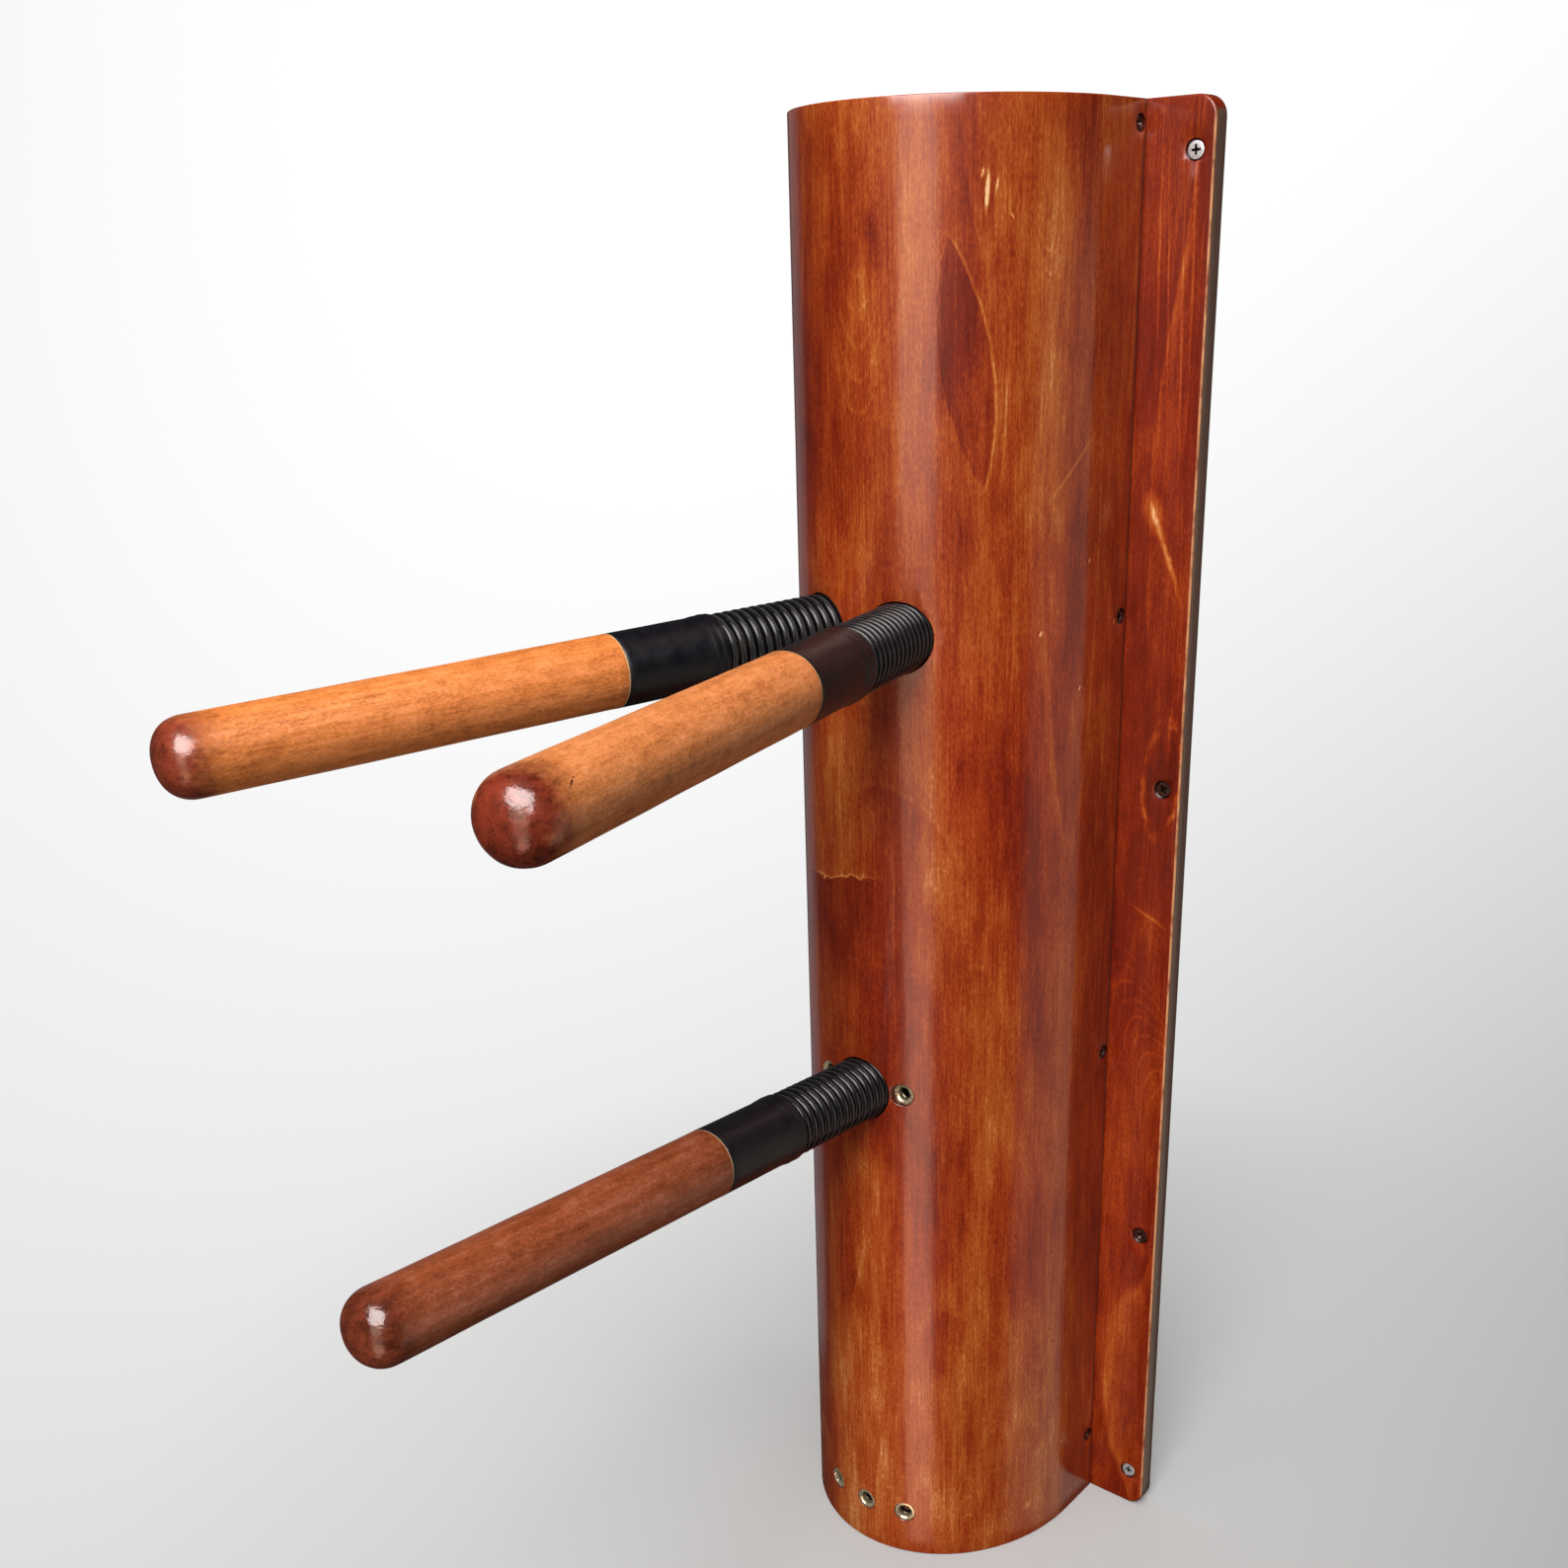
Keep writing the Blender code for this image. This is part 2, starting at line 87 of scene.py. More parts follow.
# Arms
ARM_NAMES = ("upper_left", "upper_right", "lower")
SWAY_PLACE = 0.018  # of the sway hinge along the arm
ARM_RADIUS = 0.0216
ARM_TIP = 0.413
ARM_DOME = 0.019
DOME_SQUARENESS = 2.3
SLEEVE_START = 0.083
SLEEVE_END = 0.151
SLEEVE_WALL = 0.0006
NECK_RADIUS = 0.0206
SPRING_START = -0.020
SPRING_END = 0.091
SPRING_RADIUS = 0.0214
WIRE_RADIUS = 0.0026
SPRING_PITCH = 0.0064
SPRING_SPLIT = 0.034  # between the two hinges' stretches
TENON_START = 0.066
TENON_RADIUS = 0.0154
BORE_CLEARANCE = 0.0004

# Screws and inserts
SCREW_RADIUS = 0.0022
SCREW_HEAD_HEIGHT = 0.0030
THREAD_PITCH = 0.0018
FLANGE_HEAD_RADIUS = 0.0051
SIDE_HEAD_RADIUS = 0.0042
COUNTERSINK_MARGIN = 0.0010
INSERT_RIM_RADIUS = 0.0075
INSERT_RIM_THICKNESS = 0.0012
INSERT_BODY_RADIUS = 0.0062
INSERT_BORE_RADIUS = 0.0050
INSERT_LENGTH = 0.016
INSERT_PITCH = 0.0015
INSERT_DRIVE_DEPTH = 0.0045
INSERT_SEAT = 0.0008  # between the rim's back and the step of its hole
FOOT_INSERT_SPACING = 0.0305

# Camera, about the point that it looks at
CAMERA_TARGET = Vector((-0.1213, -0.100, -0.0399))
CAMERA_DISTANCE = 1.2473
CAMERA_AZIMUTH = math.radians(40.62)
CAMERA_ELEVATION = math.radians(20.74)
CAMERA_ROLL = math.radians(-1.79)
CAMERA_LENS = 39.36
CAMERA_SHIFT = 0.0856

# Studio
TRUNK_MIDDLE = Vector((0.0, -0.10, 0.0))
BACKDROP_WHITE = 1.04
BACKDROP_FALL = 0.26  # how fast the backdrop darkens downwards
BACKDROP_DEPTH = 0.60  # how much faster farther down
BACKDROP_LEAN = 0.74  # and how much more so to the right
BACKDROP_SIDE = 0.69  # how fast it darkens to either side
BACKDROP_DARKEST = 0.36
FILL_MIDDLE = 0.19
FILL_TILT = 0.08
ROOM_GLOSS = 0.028


# ---------------------------------------------------------------- materials


class Nodes:
    """A node tree, with short calls for the nodes that the looks need."""

    def __init__(self, tree):
        self.tree = tree

    def feed(self, socket, value):
        if isinstance(value, bpy.types.NodeSocket):
            self.tree.links.new(value, socket)
        elif hasattr(value, "__len__") and len(value) == 3 and socket.type == "RGBA":
            socket.default_value = (*value, 1.0)
        else:
            socket.default_value = value

    def add(self, kind, output, settings=None, **inputs):
        """A node whose inputs are fed by name."""
        node = self.tree.nodes.new(kind)
        for key, value in (settings or {}).items():
            setattr(node, key, value)
        for key, value in inputs.items():
            self.feed(node.inputs[key.replace("_", " ")], value)
        return node.outputs[output]

    def ordered(self, kind, output, *values, **settings):
        """A node whose inputs are fed in order."""
        node = self.tree.nodes.new(kind)
        for key, value in settings.items():
            setattr(node, key, value)
        for socket, value in zip(node.inputs, values):
            self.feed(socket, value)
        return node.outputs[output]

    def attribute(self, name, output="Fac"):
        return self.add("ShaderNodeAttribute", output, {"attribute_name": name})

    def object_place(self):
        return self.add("ShaderNodeTexCoord", "Object")

    def vector_math(self, operation, first, second):
        return self.ordered("ShaderNodeVectorMath", "Vector", first, second, operation=operation)

    def scaled(self, vector, across, depth, along):
        return self.vector_math("MULTIPLY", vector, (across, depth, along))

    def moved(self, vector, *by):
        return self.vector_math("ADD", vector, by)

    def noise(self, vector, scale, detail=2.0, roughness=0.5, output="Fac"):
        inputs = {"Vector": vector, "Scale": scale, "Detail": detail, "Roughness": roughness}
        return self.add("ShaderNodeTexNoise", output, **inputs)

    def warped(self, vector, scale, amount, detail=2.0):
        """The vector pushed about by a noise of its own."""
        push = self.noise(vector, scale, detail, output="Color")
        push = self.vector_math("SUBTRACT", push, (0.5, 0.5, 0.5))
        return self.vector_math("ADD", vector, self.vector_math("MULTIPLY", push, (amount,) * 3))

    def math(self, operation, first, second=0.0):
        return self.ordered("ShaderNodeMath", "Value", first, second, operation=operation)

    def part(self, vector, axis):
        return self.add("ShaderNodeSeparateXYZ", "XYZ".index(axis), Vector=vector)

    def total(self, first, *rest):
        for value in rest:
            first = self.math("ADD", first, value)
        return first

    def times(self, value, weight):
        return self.math("MULTIPLY", value, weight)

    def about_zero(self, value, weight):
        """A noise that averages 0.5, moved to average nought and weighted."""
        return self.times(self.math("SUBTRACT", value, 0.5), weight)

    def ramp(self, value, *stops):
        """A colour ramp whose stops are (place, grey or colour)."""
        node = self.tree.nodes.new("ShaderNodeValToRGB")
        elements = node.color_ramp.elements
        while len(elements) < len(stops):
            elements.new(0.5)
        for element, (place, shade) in zip(elements, stops):
            element.position = place
            colour = shade if hasattr(shade, "__len__") else (shade,) * 3
            element.color = (*colour, 1.0)
        self.feed(node.inputs["Fac"], value)
        return node.outputs["Color"]

    def span(self, value, low, high, to_low=0.0, to_high=1.0):
        """The value's run from low to high, mapped and clamped."""
        return self.ordered("ShaderNodeMapRange", "Result", value, low, high, to_low, to_high)

    def mix(self, factor, first, second, blend="MIX"):
        node = self.tree.nodes.new("ShaderNodeMix")
        node.data_type = "RGBA"
        node.blend_type = blend
        self.feed(node.inputs["Factor"], factor)
        self.feed(node.inputs[6], first)
        self.feed(node.inputs[7], second)
        return node.outputs[2]

    def bump(self, height, distance, normal=None):
        inputs = {"Height": height, "Distance": distance}
        if normal:
            inputs["Normal"] = normal
        return self.add("ShaderNodeBump", "Normal", **inputs)

    def local(self, grain, at, size, lean=0.0):
        """The place from a mark's middle, in its half sizes. A lean, in degrees, tips its top towards +u."""
        node = self.tree.nodes.new("ShaderNodeMapping")
        node.vector_type = "TEXTURE"
        self.feed(node.inputs["Vector"], grain)
        node.inputs["Location"].default_value = (at[0], 0.0, at[1])
        node.inputs["Rotation"].default_value = (0.0, math.radians(lean), 0.0)
        node.inputs["Scale"].default_value = (size[0], 1000.0, size[1])
        return node.outputs["Vector"]

    def reach(self, local):
        """How far out a place is in its mark: 1 on the oval edge."""
        return self.add("ShaderNodeVectorMath", "Value", {"operation": "LENGTH"}, Vector=local)

    def spot(self, grain, at, size, lean=0.0, soft=0.3):
        return self.span(self.reach(self.local(grain, at, size, lean)), 1.0, 1.0 - soft)

    def outline(self, reach, wide):
        """A thin line along a mark's edge."""
        return self.span(self.math("ABSOLUTE", self.math("SUBTRACT", reach, 1.0)), wide, 0.0)

    def nest(self, grain, at, size, count, curl, lean=0.0):
        """Nested curves, as where a slice grazes the growth rings; they fade at the edge."""
        local = self.local(grain, at, size, lean)
        across = self.part(local, "X")
        bow = self.times(self.times(across, across), curl)
        height = self.math("ADD", self.part(local, "Z"), bow)
        saw = self.math("FRACT", self.times(height, count))
        line = self.ramp(saw, (0.0, 0.5), (0.12, 0.0), (0.80, 0.0), (0.95, 1.0), (1.0, 0.5))
        return self.times(line, self.span(self.reach(local), 1.0, 0.55))


class Look(Nodes):
    """A material's nodes."""

    def __init__(self, name):
        self.material = bpy.data.materials.new(name)
        self.material.use_nodes = True
        super().__init__(self.material.node_tree)
        self.shader = self.tree.nodes["Principled BSDF"]
        self.marks = []

    def set(self, **inputs):
        for key, value in inputs.items():
            self.feed(self.shader.inputs[key.replace("_", " ")], value)

    def grain(self):
        return self.attribute("grain", "Vector")

    def drawn(self, stretch, *by):
        """The grain's place, drawn out along it and moved."""
        place = self.scaled(self.grain(), 1.0, 1.0, stretch)
        return self.moved(place, *by) if by else place

    def mark(self, strength, amount):
        """Notes a mark that makes the stain lighter by an amount, or darker by a negative one."""
        self.marks.append(self.times(strength, amount))


BIRCH_STAIN = (
    (0.0, (0.080, 0.005, 0.0008)),
    (0.3, (0.190, 0.0135, 0.0010)),
    (0.5, (0.330, 0.041, 0.0030)),
    (0.7, (0.470, 0.112, 0.015)),
    (0.85, (0.640, 0.250, 0.065)),
    (1.0, (0.900, 0.560, 0.280)),
)


def growth_lines(look, seed, stretch, size, rings):
    """Thin light lines at even heights of a rolling field, drawn out along the grain; they come and go."""
    place = look.drawn(stretch, seed, 0.0, seed)
    height = look.noise(look.warped(place, 60.0, 0.0035, 3.0), size, 1.0, 0.4)
    saw = look.math("FRACT", look.times(height, rings))
    line = look.ramp(saw, (0.0, 0.0), (0.86, 0.0), (0.965, 1.0), (1.0, 0.0))
    shade = look.ramp(saw, (0.0, 0.30), (0.25, 0.5), (0.9, 0.62), (1.0, 0.30))
    shown = look.span(look.noise(look.moved(place, 9.0, seed, 0.0), 26.0, 2.0, 0.5), 0.44, 0.62)
    return look.times(line, shown), shade


def trunk_marks(look, grain):
    """The veneer's own marks, by where they are round the trunk and up it."""
    rough = look.warped(grain, 130.0, 0.0035, 3.0)
    fine = look.warped(grain, 500.0, 0.0012, 2.0)
    wavy = look.warped(grain, 70.0, 0.0034, 3.0)

    # A leaf-shaped patch, with a golden line on its right and a dark one on its left
    leaf = look.local(wavy, (0.0708, 0.3475), (0.0150, 0.0710), -9.0)
    along = look.part(leaf, "Z")
    leaf_reach = look.total(look.math("ABSOLUTE", look.part(leaf, "X")), look.times(along, along))
    look.mark(look.span(leaf_reach, 1.03, 0.90), -0.14)
    look.mark(look.times(look.outline(leaf_reach, 0.10), look.span(look.part(leaf, "X"), -0.5, 0.3)), 0.26)
    look.mark(look.times(look.outline(leaf_reach, 0.05), look.span(look.part(leaf, "X"), 0.1, -0.3)), -0.20)
    look.mark(look.spot(rough, (0.0935, 0.3150), (0.0012, 0.0560), 3.0, 0.9), 0.20)

    # Painted highlights above it: pale flecks standing for glints off dents and drips in the varnish
    look.mark(look.spot(fine, (0.0812, 0.4385), (0.0019, 0.0135), 4.0, 0.6), 0.62)
    look.mark(look.spot(fine, (0.0783, 0.4475), (0.0012, 0.0042), 14.0, 0.6), 0.42)
    look.mark(look.spot(fine, (0.0866, 0.4410), (0.0010, 0.0085), 12.0, 0.7), 0.30)
    look.mark(look.spot(fine, (0.0960, 0.4255), (0.0009, 0.0026), -30.0, 0.6), 0.30)

    # Faint nested figure and soft knots
    look.mark(look.nest(rough, (0.0060, 0.3600), (0.0200, 0.0560), 3.0, -0.9), 0.11)
    look.mark(look.nest(rough, (0.1200, 0.4080), (0.0120, 0.0260), 2.0, -1.8, -8.0), 0.13)
    look.mark(look.spot(rough, (0.0145, 0.4220), (0.0060, 0.0110), 0.0, 0.9), -0.13)
    look.mark(look.spot(rough, (-0.0468, 0.3077), (0.0180, 0.0120), 0.0, 0.9), -0.14)
    look.mark(look.spot(rough, (0.1450, 0.2890), (0.0019, 0.0330), 46.0, 0.8), 0.24)

    # An arch below the upper arms
    arch_place = look.local(wavy, (0.0330, 0.0420), (0.0360, 0.0620), -24.0)
    arch = look.reach(arch_place)
    upper_right = look.span(look.total(look.part(arch_place, "X"), look.part(arch_place, "Z")), 0.3, 1.2)
    look.mark(look.times(look.span(arch, 1.0, 0.9), upper_right), -0.08)
    look.mark(look.times(look.outline(arch, 0.06), upper_right), 0.07)
    look.mark(look.nest(wavy, (0.0640, 0.0150), (0.0240, 0.0700), 4.0, 0.9, -20.0), 0.05)
    look.mark(look.spot(rough, (0.0600, -0.3050), (0.0190, 0.0330), 8.0, 0.35), -0.11)
    look.mark(look.spot(rough, (-0.0080, -0.2700), (0.0260, 0.0330), -20.0, 0.8), -0.10)
    look.mark(look.nest(rough, (0.0780, -0.4350), (0.0130, 0.0330), 2.0, 1.4), 0.12)
    look.mark(look.nest(rough, (0.1350, -0.3650), (0.0200, 0.0750), 3.0, -0.9), 0.10)

    # Broad changes of tone: painted shade darkening the +X flat side next to the board, lighter at the head
    # and foot
    look.mark(look.span(look.part(grain, "X"), 0.160, 0.178), -0.14)
    look.mark(look.span(look.part(grain, "X"), 0.0, -0.05), -0.05)
    look.mark(look.span(look.part(grain, "Z"), 0.22, 0.42), 0.04)
    look.mark(look.span(look.part(grain, "Z"), -0.20, -0.46), 0.17)
    look.mark(look.spot(rough, (0.1050, 0.0700), (0.0500, 0.1400), 0.0, 0.9), -0.05)
    look.mark(look.spot(rough, (-0.0350, 0.2900), (0.0500, 0.2400), 0.0, 0.9), -0.09)
    look.mark(look.spot(rough, (-0.0100, -0.2000), (0.0500, 0.1500), 0.0, 0.9), 0.06)
    # The ragged line where the stain has dried, darker below
    ragged = look.about_zero(look.noise(look.moved(grain, 3.0, 0.0, 0.0), 60.0, 3.0, 0.6), 0.020)
    tide = look.total(0.0355, ragged, look.times(look.part(grain, "X"), 0.16))
    below = look.math("SUBTRACT", tide, look.part(rough, "Z"))
    near = look.spot(grain, (-0.0190, 0.0200), (0.0420, 0.0700), 0.0, 0.5)
    look.mark(look.times(look.span(look.math("ABSOLUTE", below), 0.0018, 0.0), near), 0.30)
    shadow = look.times(look.span(below, 0.0, 0.0006), look.span(below, 0.110, 0.0))
    look.mark(look.times(shadow, near), -0.24)
    look.mark(look.spot(rough, (0.0262, 0.0060), (0.0013, 0.0360), 0.0, 0.8), 0.24)

    # Small dents in the varnish, each painted as a highlight with painted shade beside it; a dark dot and a
    # plugged hole
    for at in ((0.1604, 0.2301), (0.1203, 0.1910), (0.1926, 0.1879), (0.1545, 0.1521)):
        look.mark(look.spot(fine, at, (0.0014, 0.0022), 25.0, 0.5), 0.40)
        look.mark(look.spot(fine, (at[0] - 0.0020, at[1] + 0.0006), (0.0013, 0.0020), 25.0, 0.6), -0.25)
    look.mark(look.spot(fine, (0.1482, -0.3248), (0.0011, 0.0017), 0.0, 0.5), -0.50)
    look.mark(look.spot(grain, (0.1269, -0.4598), (0.0045, 0.0045), 0.0, 0.7), 0.16)


def board_marks(look, grain):
    """The board's own marks, by where they are across it and up it."""
    rough = look.warped(grain, 120.0, 0.0040, 3.0)
    look.mark(look.spot(rough, (0.1160, 0.2540), (0.0085, 0.0170), -14.0, 0.9), 0.46)
    look.mark(look.spot(rough, (0.1260, 0.2300), (0.0030, 0.0380), -22.0, 0.8), 0.42)
    oval = look.reach(look.local(rough, (0.1310, 0.0850), (0.0130, 0.0380), 5.0))
    look.mark(look.span(oval, 1.0, 0.7), -0.12)
    broken = look.span(look.noise(grain, 70.0, 2.0, 0.5), 0.40, 0.60)
    look.mark(look.times(look.outline(oval, 0.18), broken), 0.42)
    look.mark(look.spot(rough, (0.1345, 0.1150), (0.0028, 0.0220), 3.0, 0.9), 0.30)
    look.mark(look.spot(rough, (0.1250, -0.0105), (0.0013, 0.0240), -65.0, 0.8), 0.26)
    look.mark(look.nest(rough, (0.1200, -0.0850), (0.0300, 0.0800), 6.0, 0.7, -24.0), 0.13)
    wavy = look.warped(grain, 30.0, 0.0030, 2.0)
    look.mark(look.span(look.part(grain, "Z"), -0.12, 0.10), -0.08)
    lines = ((0.1120, 0.40, -1.0), (0.1190, 0.38, -2.5), (0.1290, 0.36, -2.0), (0.1340, 0.41, -1.0))
    for u, height, lean in lines:
        look.mark(look.spot(wavy, (u, height), (0.0011, 0.1300), lean, 0.9), 0.24)


def panel_wood(name, seed, tone, contrast, line_strength, marks, coat):
    """Stained and varnished birch plywood; its plies show where an edge cuts them."""
    look = Look(name)
    grain = look.grain()
    lines, shade = growth_lines(look, seed, 0.13, 8.0, 9.0)
    blotch = look.noise(look.drawn(0.30, seed, 3.0, 1.0), 15.0, 4.0, 0.6)
    flame = look.warped(look.drawn(0.10, 2.0, seed, 0.0), 40.0, 0.008, 2.0)
    flame = look.noise(flame, 55.0, 4.0, 0.6)
    fibre = look.noise(look.warped(look.drawn(0.035), 90.0, 0.002), 620.0, 3.0, 0.7)
    fleck = look.noise(look.drawn(0.30, 5.0, seed, 2.0), 850.0, 3.0, 0.7)
    mottle = look.noise(look.drawn(0.25), 130.0, 4.0, 0.7)
    cloud = look.drawn(0.5, seed, 1.0, 4.0)
    cloud = look.noise(look.warped(cloud, 18.0, 0.03, 2.0), 22.0, 3.0, 0.6)
    redness = look.noise(look.drawn(0.4, 7.0, 1.0, seed), 10.0, 2.0, 0.5)
    redness = look.total(redness, look.times(look.part(grain, "Z"), -0.22))

    marks(look, grain)
    stain = look.total(
        look.about_zero(blotch, 0.60 * contrast),
        look.about_zero(cloud, 0.34 * contrast),
        look.about_zero(flame, 0.40 * contrast),
        look.about_zero(fibre, 0.38 * contrast),
        look.about_zero(fleck, 0.50 * contrast),
        look.about_zero(mottle, 0.32 * contrast),
        look.about_zero(shade, 0.12 * line_strength),
        look.times(lines, 0.16 * line_strength),
        *look.marks,
    )
    base = look.ramp(look.total(stain, tone), *BIRCH_STAIN)
    redder = look.mix(1.0, base, (0.97, 0.70, 0.72), "MULTIPLY")
    base = look.mix(look.span(redness, 0.42, 0.62, 0.0, 0.8), base, redder)

    depth = look.part(grain, "Y")
    ply = look.math("FRACT", look.times(depth, 1 / PLY_PAIR))
    layers = ((0.0, 0.35), (0.08, 1.0), (0.46, 0.95), (0.5, 0.5), (0.54, 0.55), (0.96, 0.6), (1.0, 0.35))
    edge = look.mix(look.span(fibre, 0.3, 0.7), (0.15, 0.080, 0.058), (0.23, 0.13, 0.090))
    edge = look.mix(1.0, edge, look.ramp(ply, *layers), "MULTIPLY")
    base = look.mix(look.attribute("cut_edge"), base, edge)
    worn = look.times(look.attribute("worn"), look.span(look.noise(grain, 60.0, 3.0, 0.6), 0.30, 0.55))
    base = look.mix(worn, base, (0.66, 0.30, 0.13))
    # Painted shade: darker along the seam beside the board, down the bores and on the hidden inner face
    base = look.mix(look.attribute("recess"), base, look.mix(1.0, base, (0.22, 0.14, 0.12), "MULTIPLY"))

    look.set(Base_Color=base, Roughness=look.span(fibre, 0.3, 0.7, 0.40, 0.55), IOR=1.2)
    ripple = look.noise(look.drawn(0.22), 45.0, 3.0, 0.55)
    normal = look.bump(ripple, 0.00032)
    look.set(Normal=look.bump(fibre, 0.00003, normal), Coat_Normal=look.bump(fibre, 0.000006, normal))
    look.set(Coat_Weight=coat, Coat_Roughness=0.17, Coat_IOR=1.5)
    return look.material


def arm_wood(name, seed, body, tip_colour, scar=None):
    """A stained dowel with a fine mottle, a darker glossy tip and a bare line at its shoulder."""
    look = Look(name)
    grain = look.grain()
    along = look.part(grain, "Z")
    streak = look.noise(look.drawn(0.05, seed, 0, 0), 300.0, 4.0, 0.7)
    blotch = look.noise(look.drawn(0.5, 0, seed, 0), 34.0, 4.0, 0.65)
    curl = look.warped(look.drawn(0.5, 1, seed, 0), 60.0, 0.01)
    curl = look.noise(curl, 170.0, 3.0, 0.6)
    speckle = look.noise(look.drawn(0.5, seed, seed, 0), 800.0, 3.0, 0.7)
    stain = look.total(
        0.5,
        look.about_zero(blotch, 0.55),
        look.about_zero(streak, 0.62),
        look.about_zero(curl, 0.70),
        look.about_zero(speckle, 0.95),
    )
    tint = look.ramp(stain, (0.15, (0.50, 0.36, 0.25)), (0.5, (1.0, 1.0, 1.0)), (0.8, (1.0, 1.0, 1.0)))
    glow = look.span(stain, 0.5, 0.85)
    base = look.mix(1.0, body, tint, "MULTIPLY")
    base = look.mix(glow, base, tuple(min(0.95, c * 1.25 + 0.05) for c in body))

    wander = look.about_zero(look.noise(look.drawn(0.8), 45.0, 4.0, 0.65), 0.034)
    edge = look.total(along, wander)
    tip = look.span(edge, ARM_TIP - 0.0310, ARM_TIP - 0.0130)
    uneven = look.total(look.times(blotch, 0.4), look.times(curl, 0.3), look.times(speckle, 0.3))
    dark_tip, light_tip = (tuple(share * c for c in tip_colour) for share in (0.45, 1.25))
    patchy = look.mix(look.span(uneven, 0.42, 0.57), dark_tip, light_tip)
    base = look.mix(tip, base, patchy)
    bare = look.span(along, SLEEVE_END + 0.0016, SLEEVE_END + 0.0009)
    base = look.mix(bare, base, (0.72, 0.50, 0.27))
    if scar:
        base = look.mix(scar(look, grain), base, (0.05, 0.012, 0.004))
    look.set(Base_Color=base, IOR=1.5)
    rough = look.span(streak, 0.3, 0.7, 0.36, 0.50)
    glossy = look.span(blotch, 0.3, 0.7, 0.17, 0.25)
    body_share = look.math("SUBTRACT", 1.0, tip)
    look.set(Roughness=look.total(look.times(rough, body_share), look.times(glossy, tip)))
    dents = look.bump(look.noise(look.warped(grain, 80.0, 0.01), 130.0, 3.0, 0.6), 0.00050)
    look.set(Normal=look.bump(speckle, 0.00004, dents))
    return look.material


def crack(look, grain):
    """A short dark crack on the right arm, slanting across the grain near its tip."""
    start, end = Vector((0.0146, 0.0160, 0.3765)), Vector((0.0186, 0.0110, 0.3885))
    bent = look.warped(grain, 350.0, 0.0016, 2.0)
    along = (end - start).normalized()
    offset = look.moved(bent, *(-(start + end) / 2))
    run = look.ordered("ShaderNodeVectorMath", "Value", offset, along, operation="DOT_PRODUCT")
    across = look.vector_math("CROSS_PRODUCT", offset, along)
    wide = look.span(look.math("ABSOLUTE", run), 0.0, (end - start).length / 2, 0.00045, 0.0)
    return look.math("LESS_THAN", look.reach(across), wide)


def spring_paint():
    """Black lacquer on spring wire, lighter along the crests: partly wear, partly a painted highlight."""
    look = Look("spring_black")
    grain = look.grain()
    patch = look.noise(grain, 160.0, 4.0, 0.65)
    # Lighter crests: partly wear of the lacquer, partly a painted highlight along each turn of the wire
    crest = look.times(look.attribute("worn"), look.span(patch, 0.30, 0.55, 0.4, 1.0))
    base = look.mix(look.span(patch, 0.3, 0.7), (0.003, 0.003, 0.0035), (0.008, 0.008, 0.009))
    base = look.mix(crest, base, (0.050, 0.052, 0.058))
    look.set(Base_Color=base, Roughness=look.span(patch, 0.3, 0.7, 0.15, 0.24), IOR=1.34)
    look.set(Normal=look.bump(look.noise(grain, 900.0, 3.0, 0.6), 0.00003))
    return look.material


def sleeve_rubber(name, tint):
    look = Look(name)
    grain = look.grain()
    mottle = look.noise(grain, 120.0, 4.0, 0.6)
    base = look.mix(look.span(mottle, 0.3, 0.7), tuple(0.7 * c for c in tint), tint)
    look.set(Base_Color=base, Roughness=look.span(mottle, 0.3, 0.7, 0.34, 0.50), IOR=1.4)
    fine = look.noise(look.drawn(0.4), 700.0, 3.0, 0.6)
    look.set(Normal=look.bump(fine, 0.00003))
    return look.material


def metal(name, low, high, roughness, metallic, shade_depth):
    """Metal with a slight mottle and fine scratches, with painted shade darkening it down in its recess."""
    look = Look(name)
    place = look.object_place()
    mottle = look.noise(place, 700.0, 3.0, 0.6)
    base = look.mix(look.span(mottle, 0.3, 0.7), low, high)
    # Painted shade: the colour turns nearly black farther down a screw's recess and an insert's bore
    recess_shade = look.span(look.part(look.grain(), "Z"), -0.15 * shade_depth, -shade_depth)
    look.set(Base_Color=look.mix(recess_shade, base, (0.012, 0.009, 0.007)), Metallic=metallic)
    look.set(Roughness=look.span(mottle, 0.3, 0.7, roughness * 0.8, roughness * 1.25))
    look.set(Normal=look.bump(look.noise(place, 2500.0, 2.0, 0.6), 0.00001))
    return look.material


def bare_wood(name, low, high):
    look = Look(name)
    place = look.object_place()
    streak = look.noise(look.scaled(place, 1, 1, 0.06), 220.0, 4.0, 0.6)
    patch = look.noise(look.scaled(place, 1, 1, 0.4), 30.0, 2.0, 0.5)
    base = look.mix(look.span(patch, 0.3, 0.7), low, high)
    base = look.mix(1.0, base, look.ramp(streak, (0.3, 0.82), (0.7, 1.08)), "MULTIPLY")
    look.set(Base_Color=base, Roughness=look.span(streak, 0.3, 0.7, 0.55, 0.75))
    look.set(Normal=look.bump(streak, 0.0001))
    return look.material


# ---------------------------------------------------------------- mesh helpers


def in_scene(name, data):
    obj = bpy.data.objects.new(name, data)
    bpy.context.scene.collection.objects.link(obj)
    return obj


def as_mesh(name, bm):
    mesh = bpy.data.meshes.new(name)
    bm.to_mesh(mesh)
    bm.free()
    return mesh


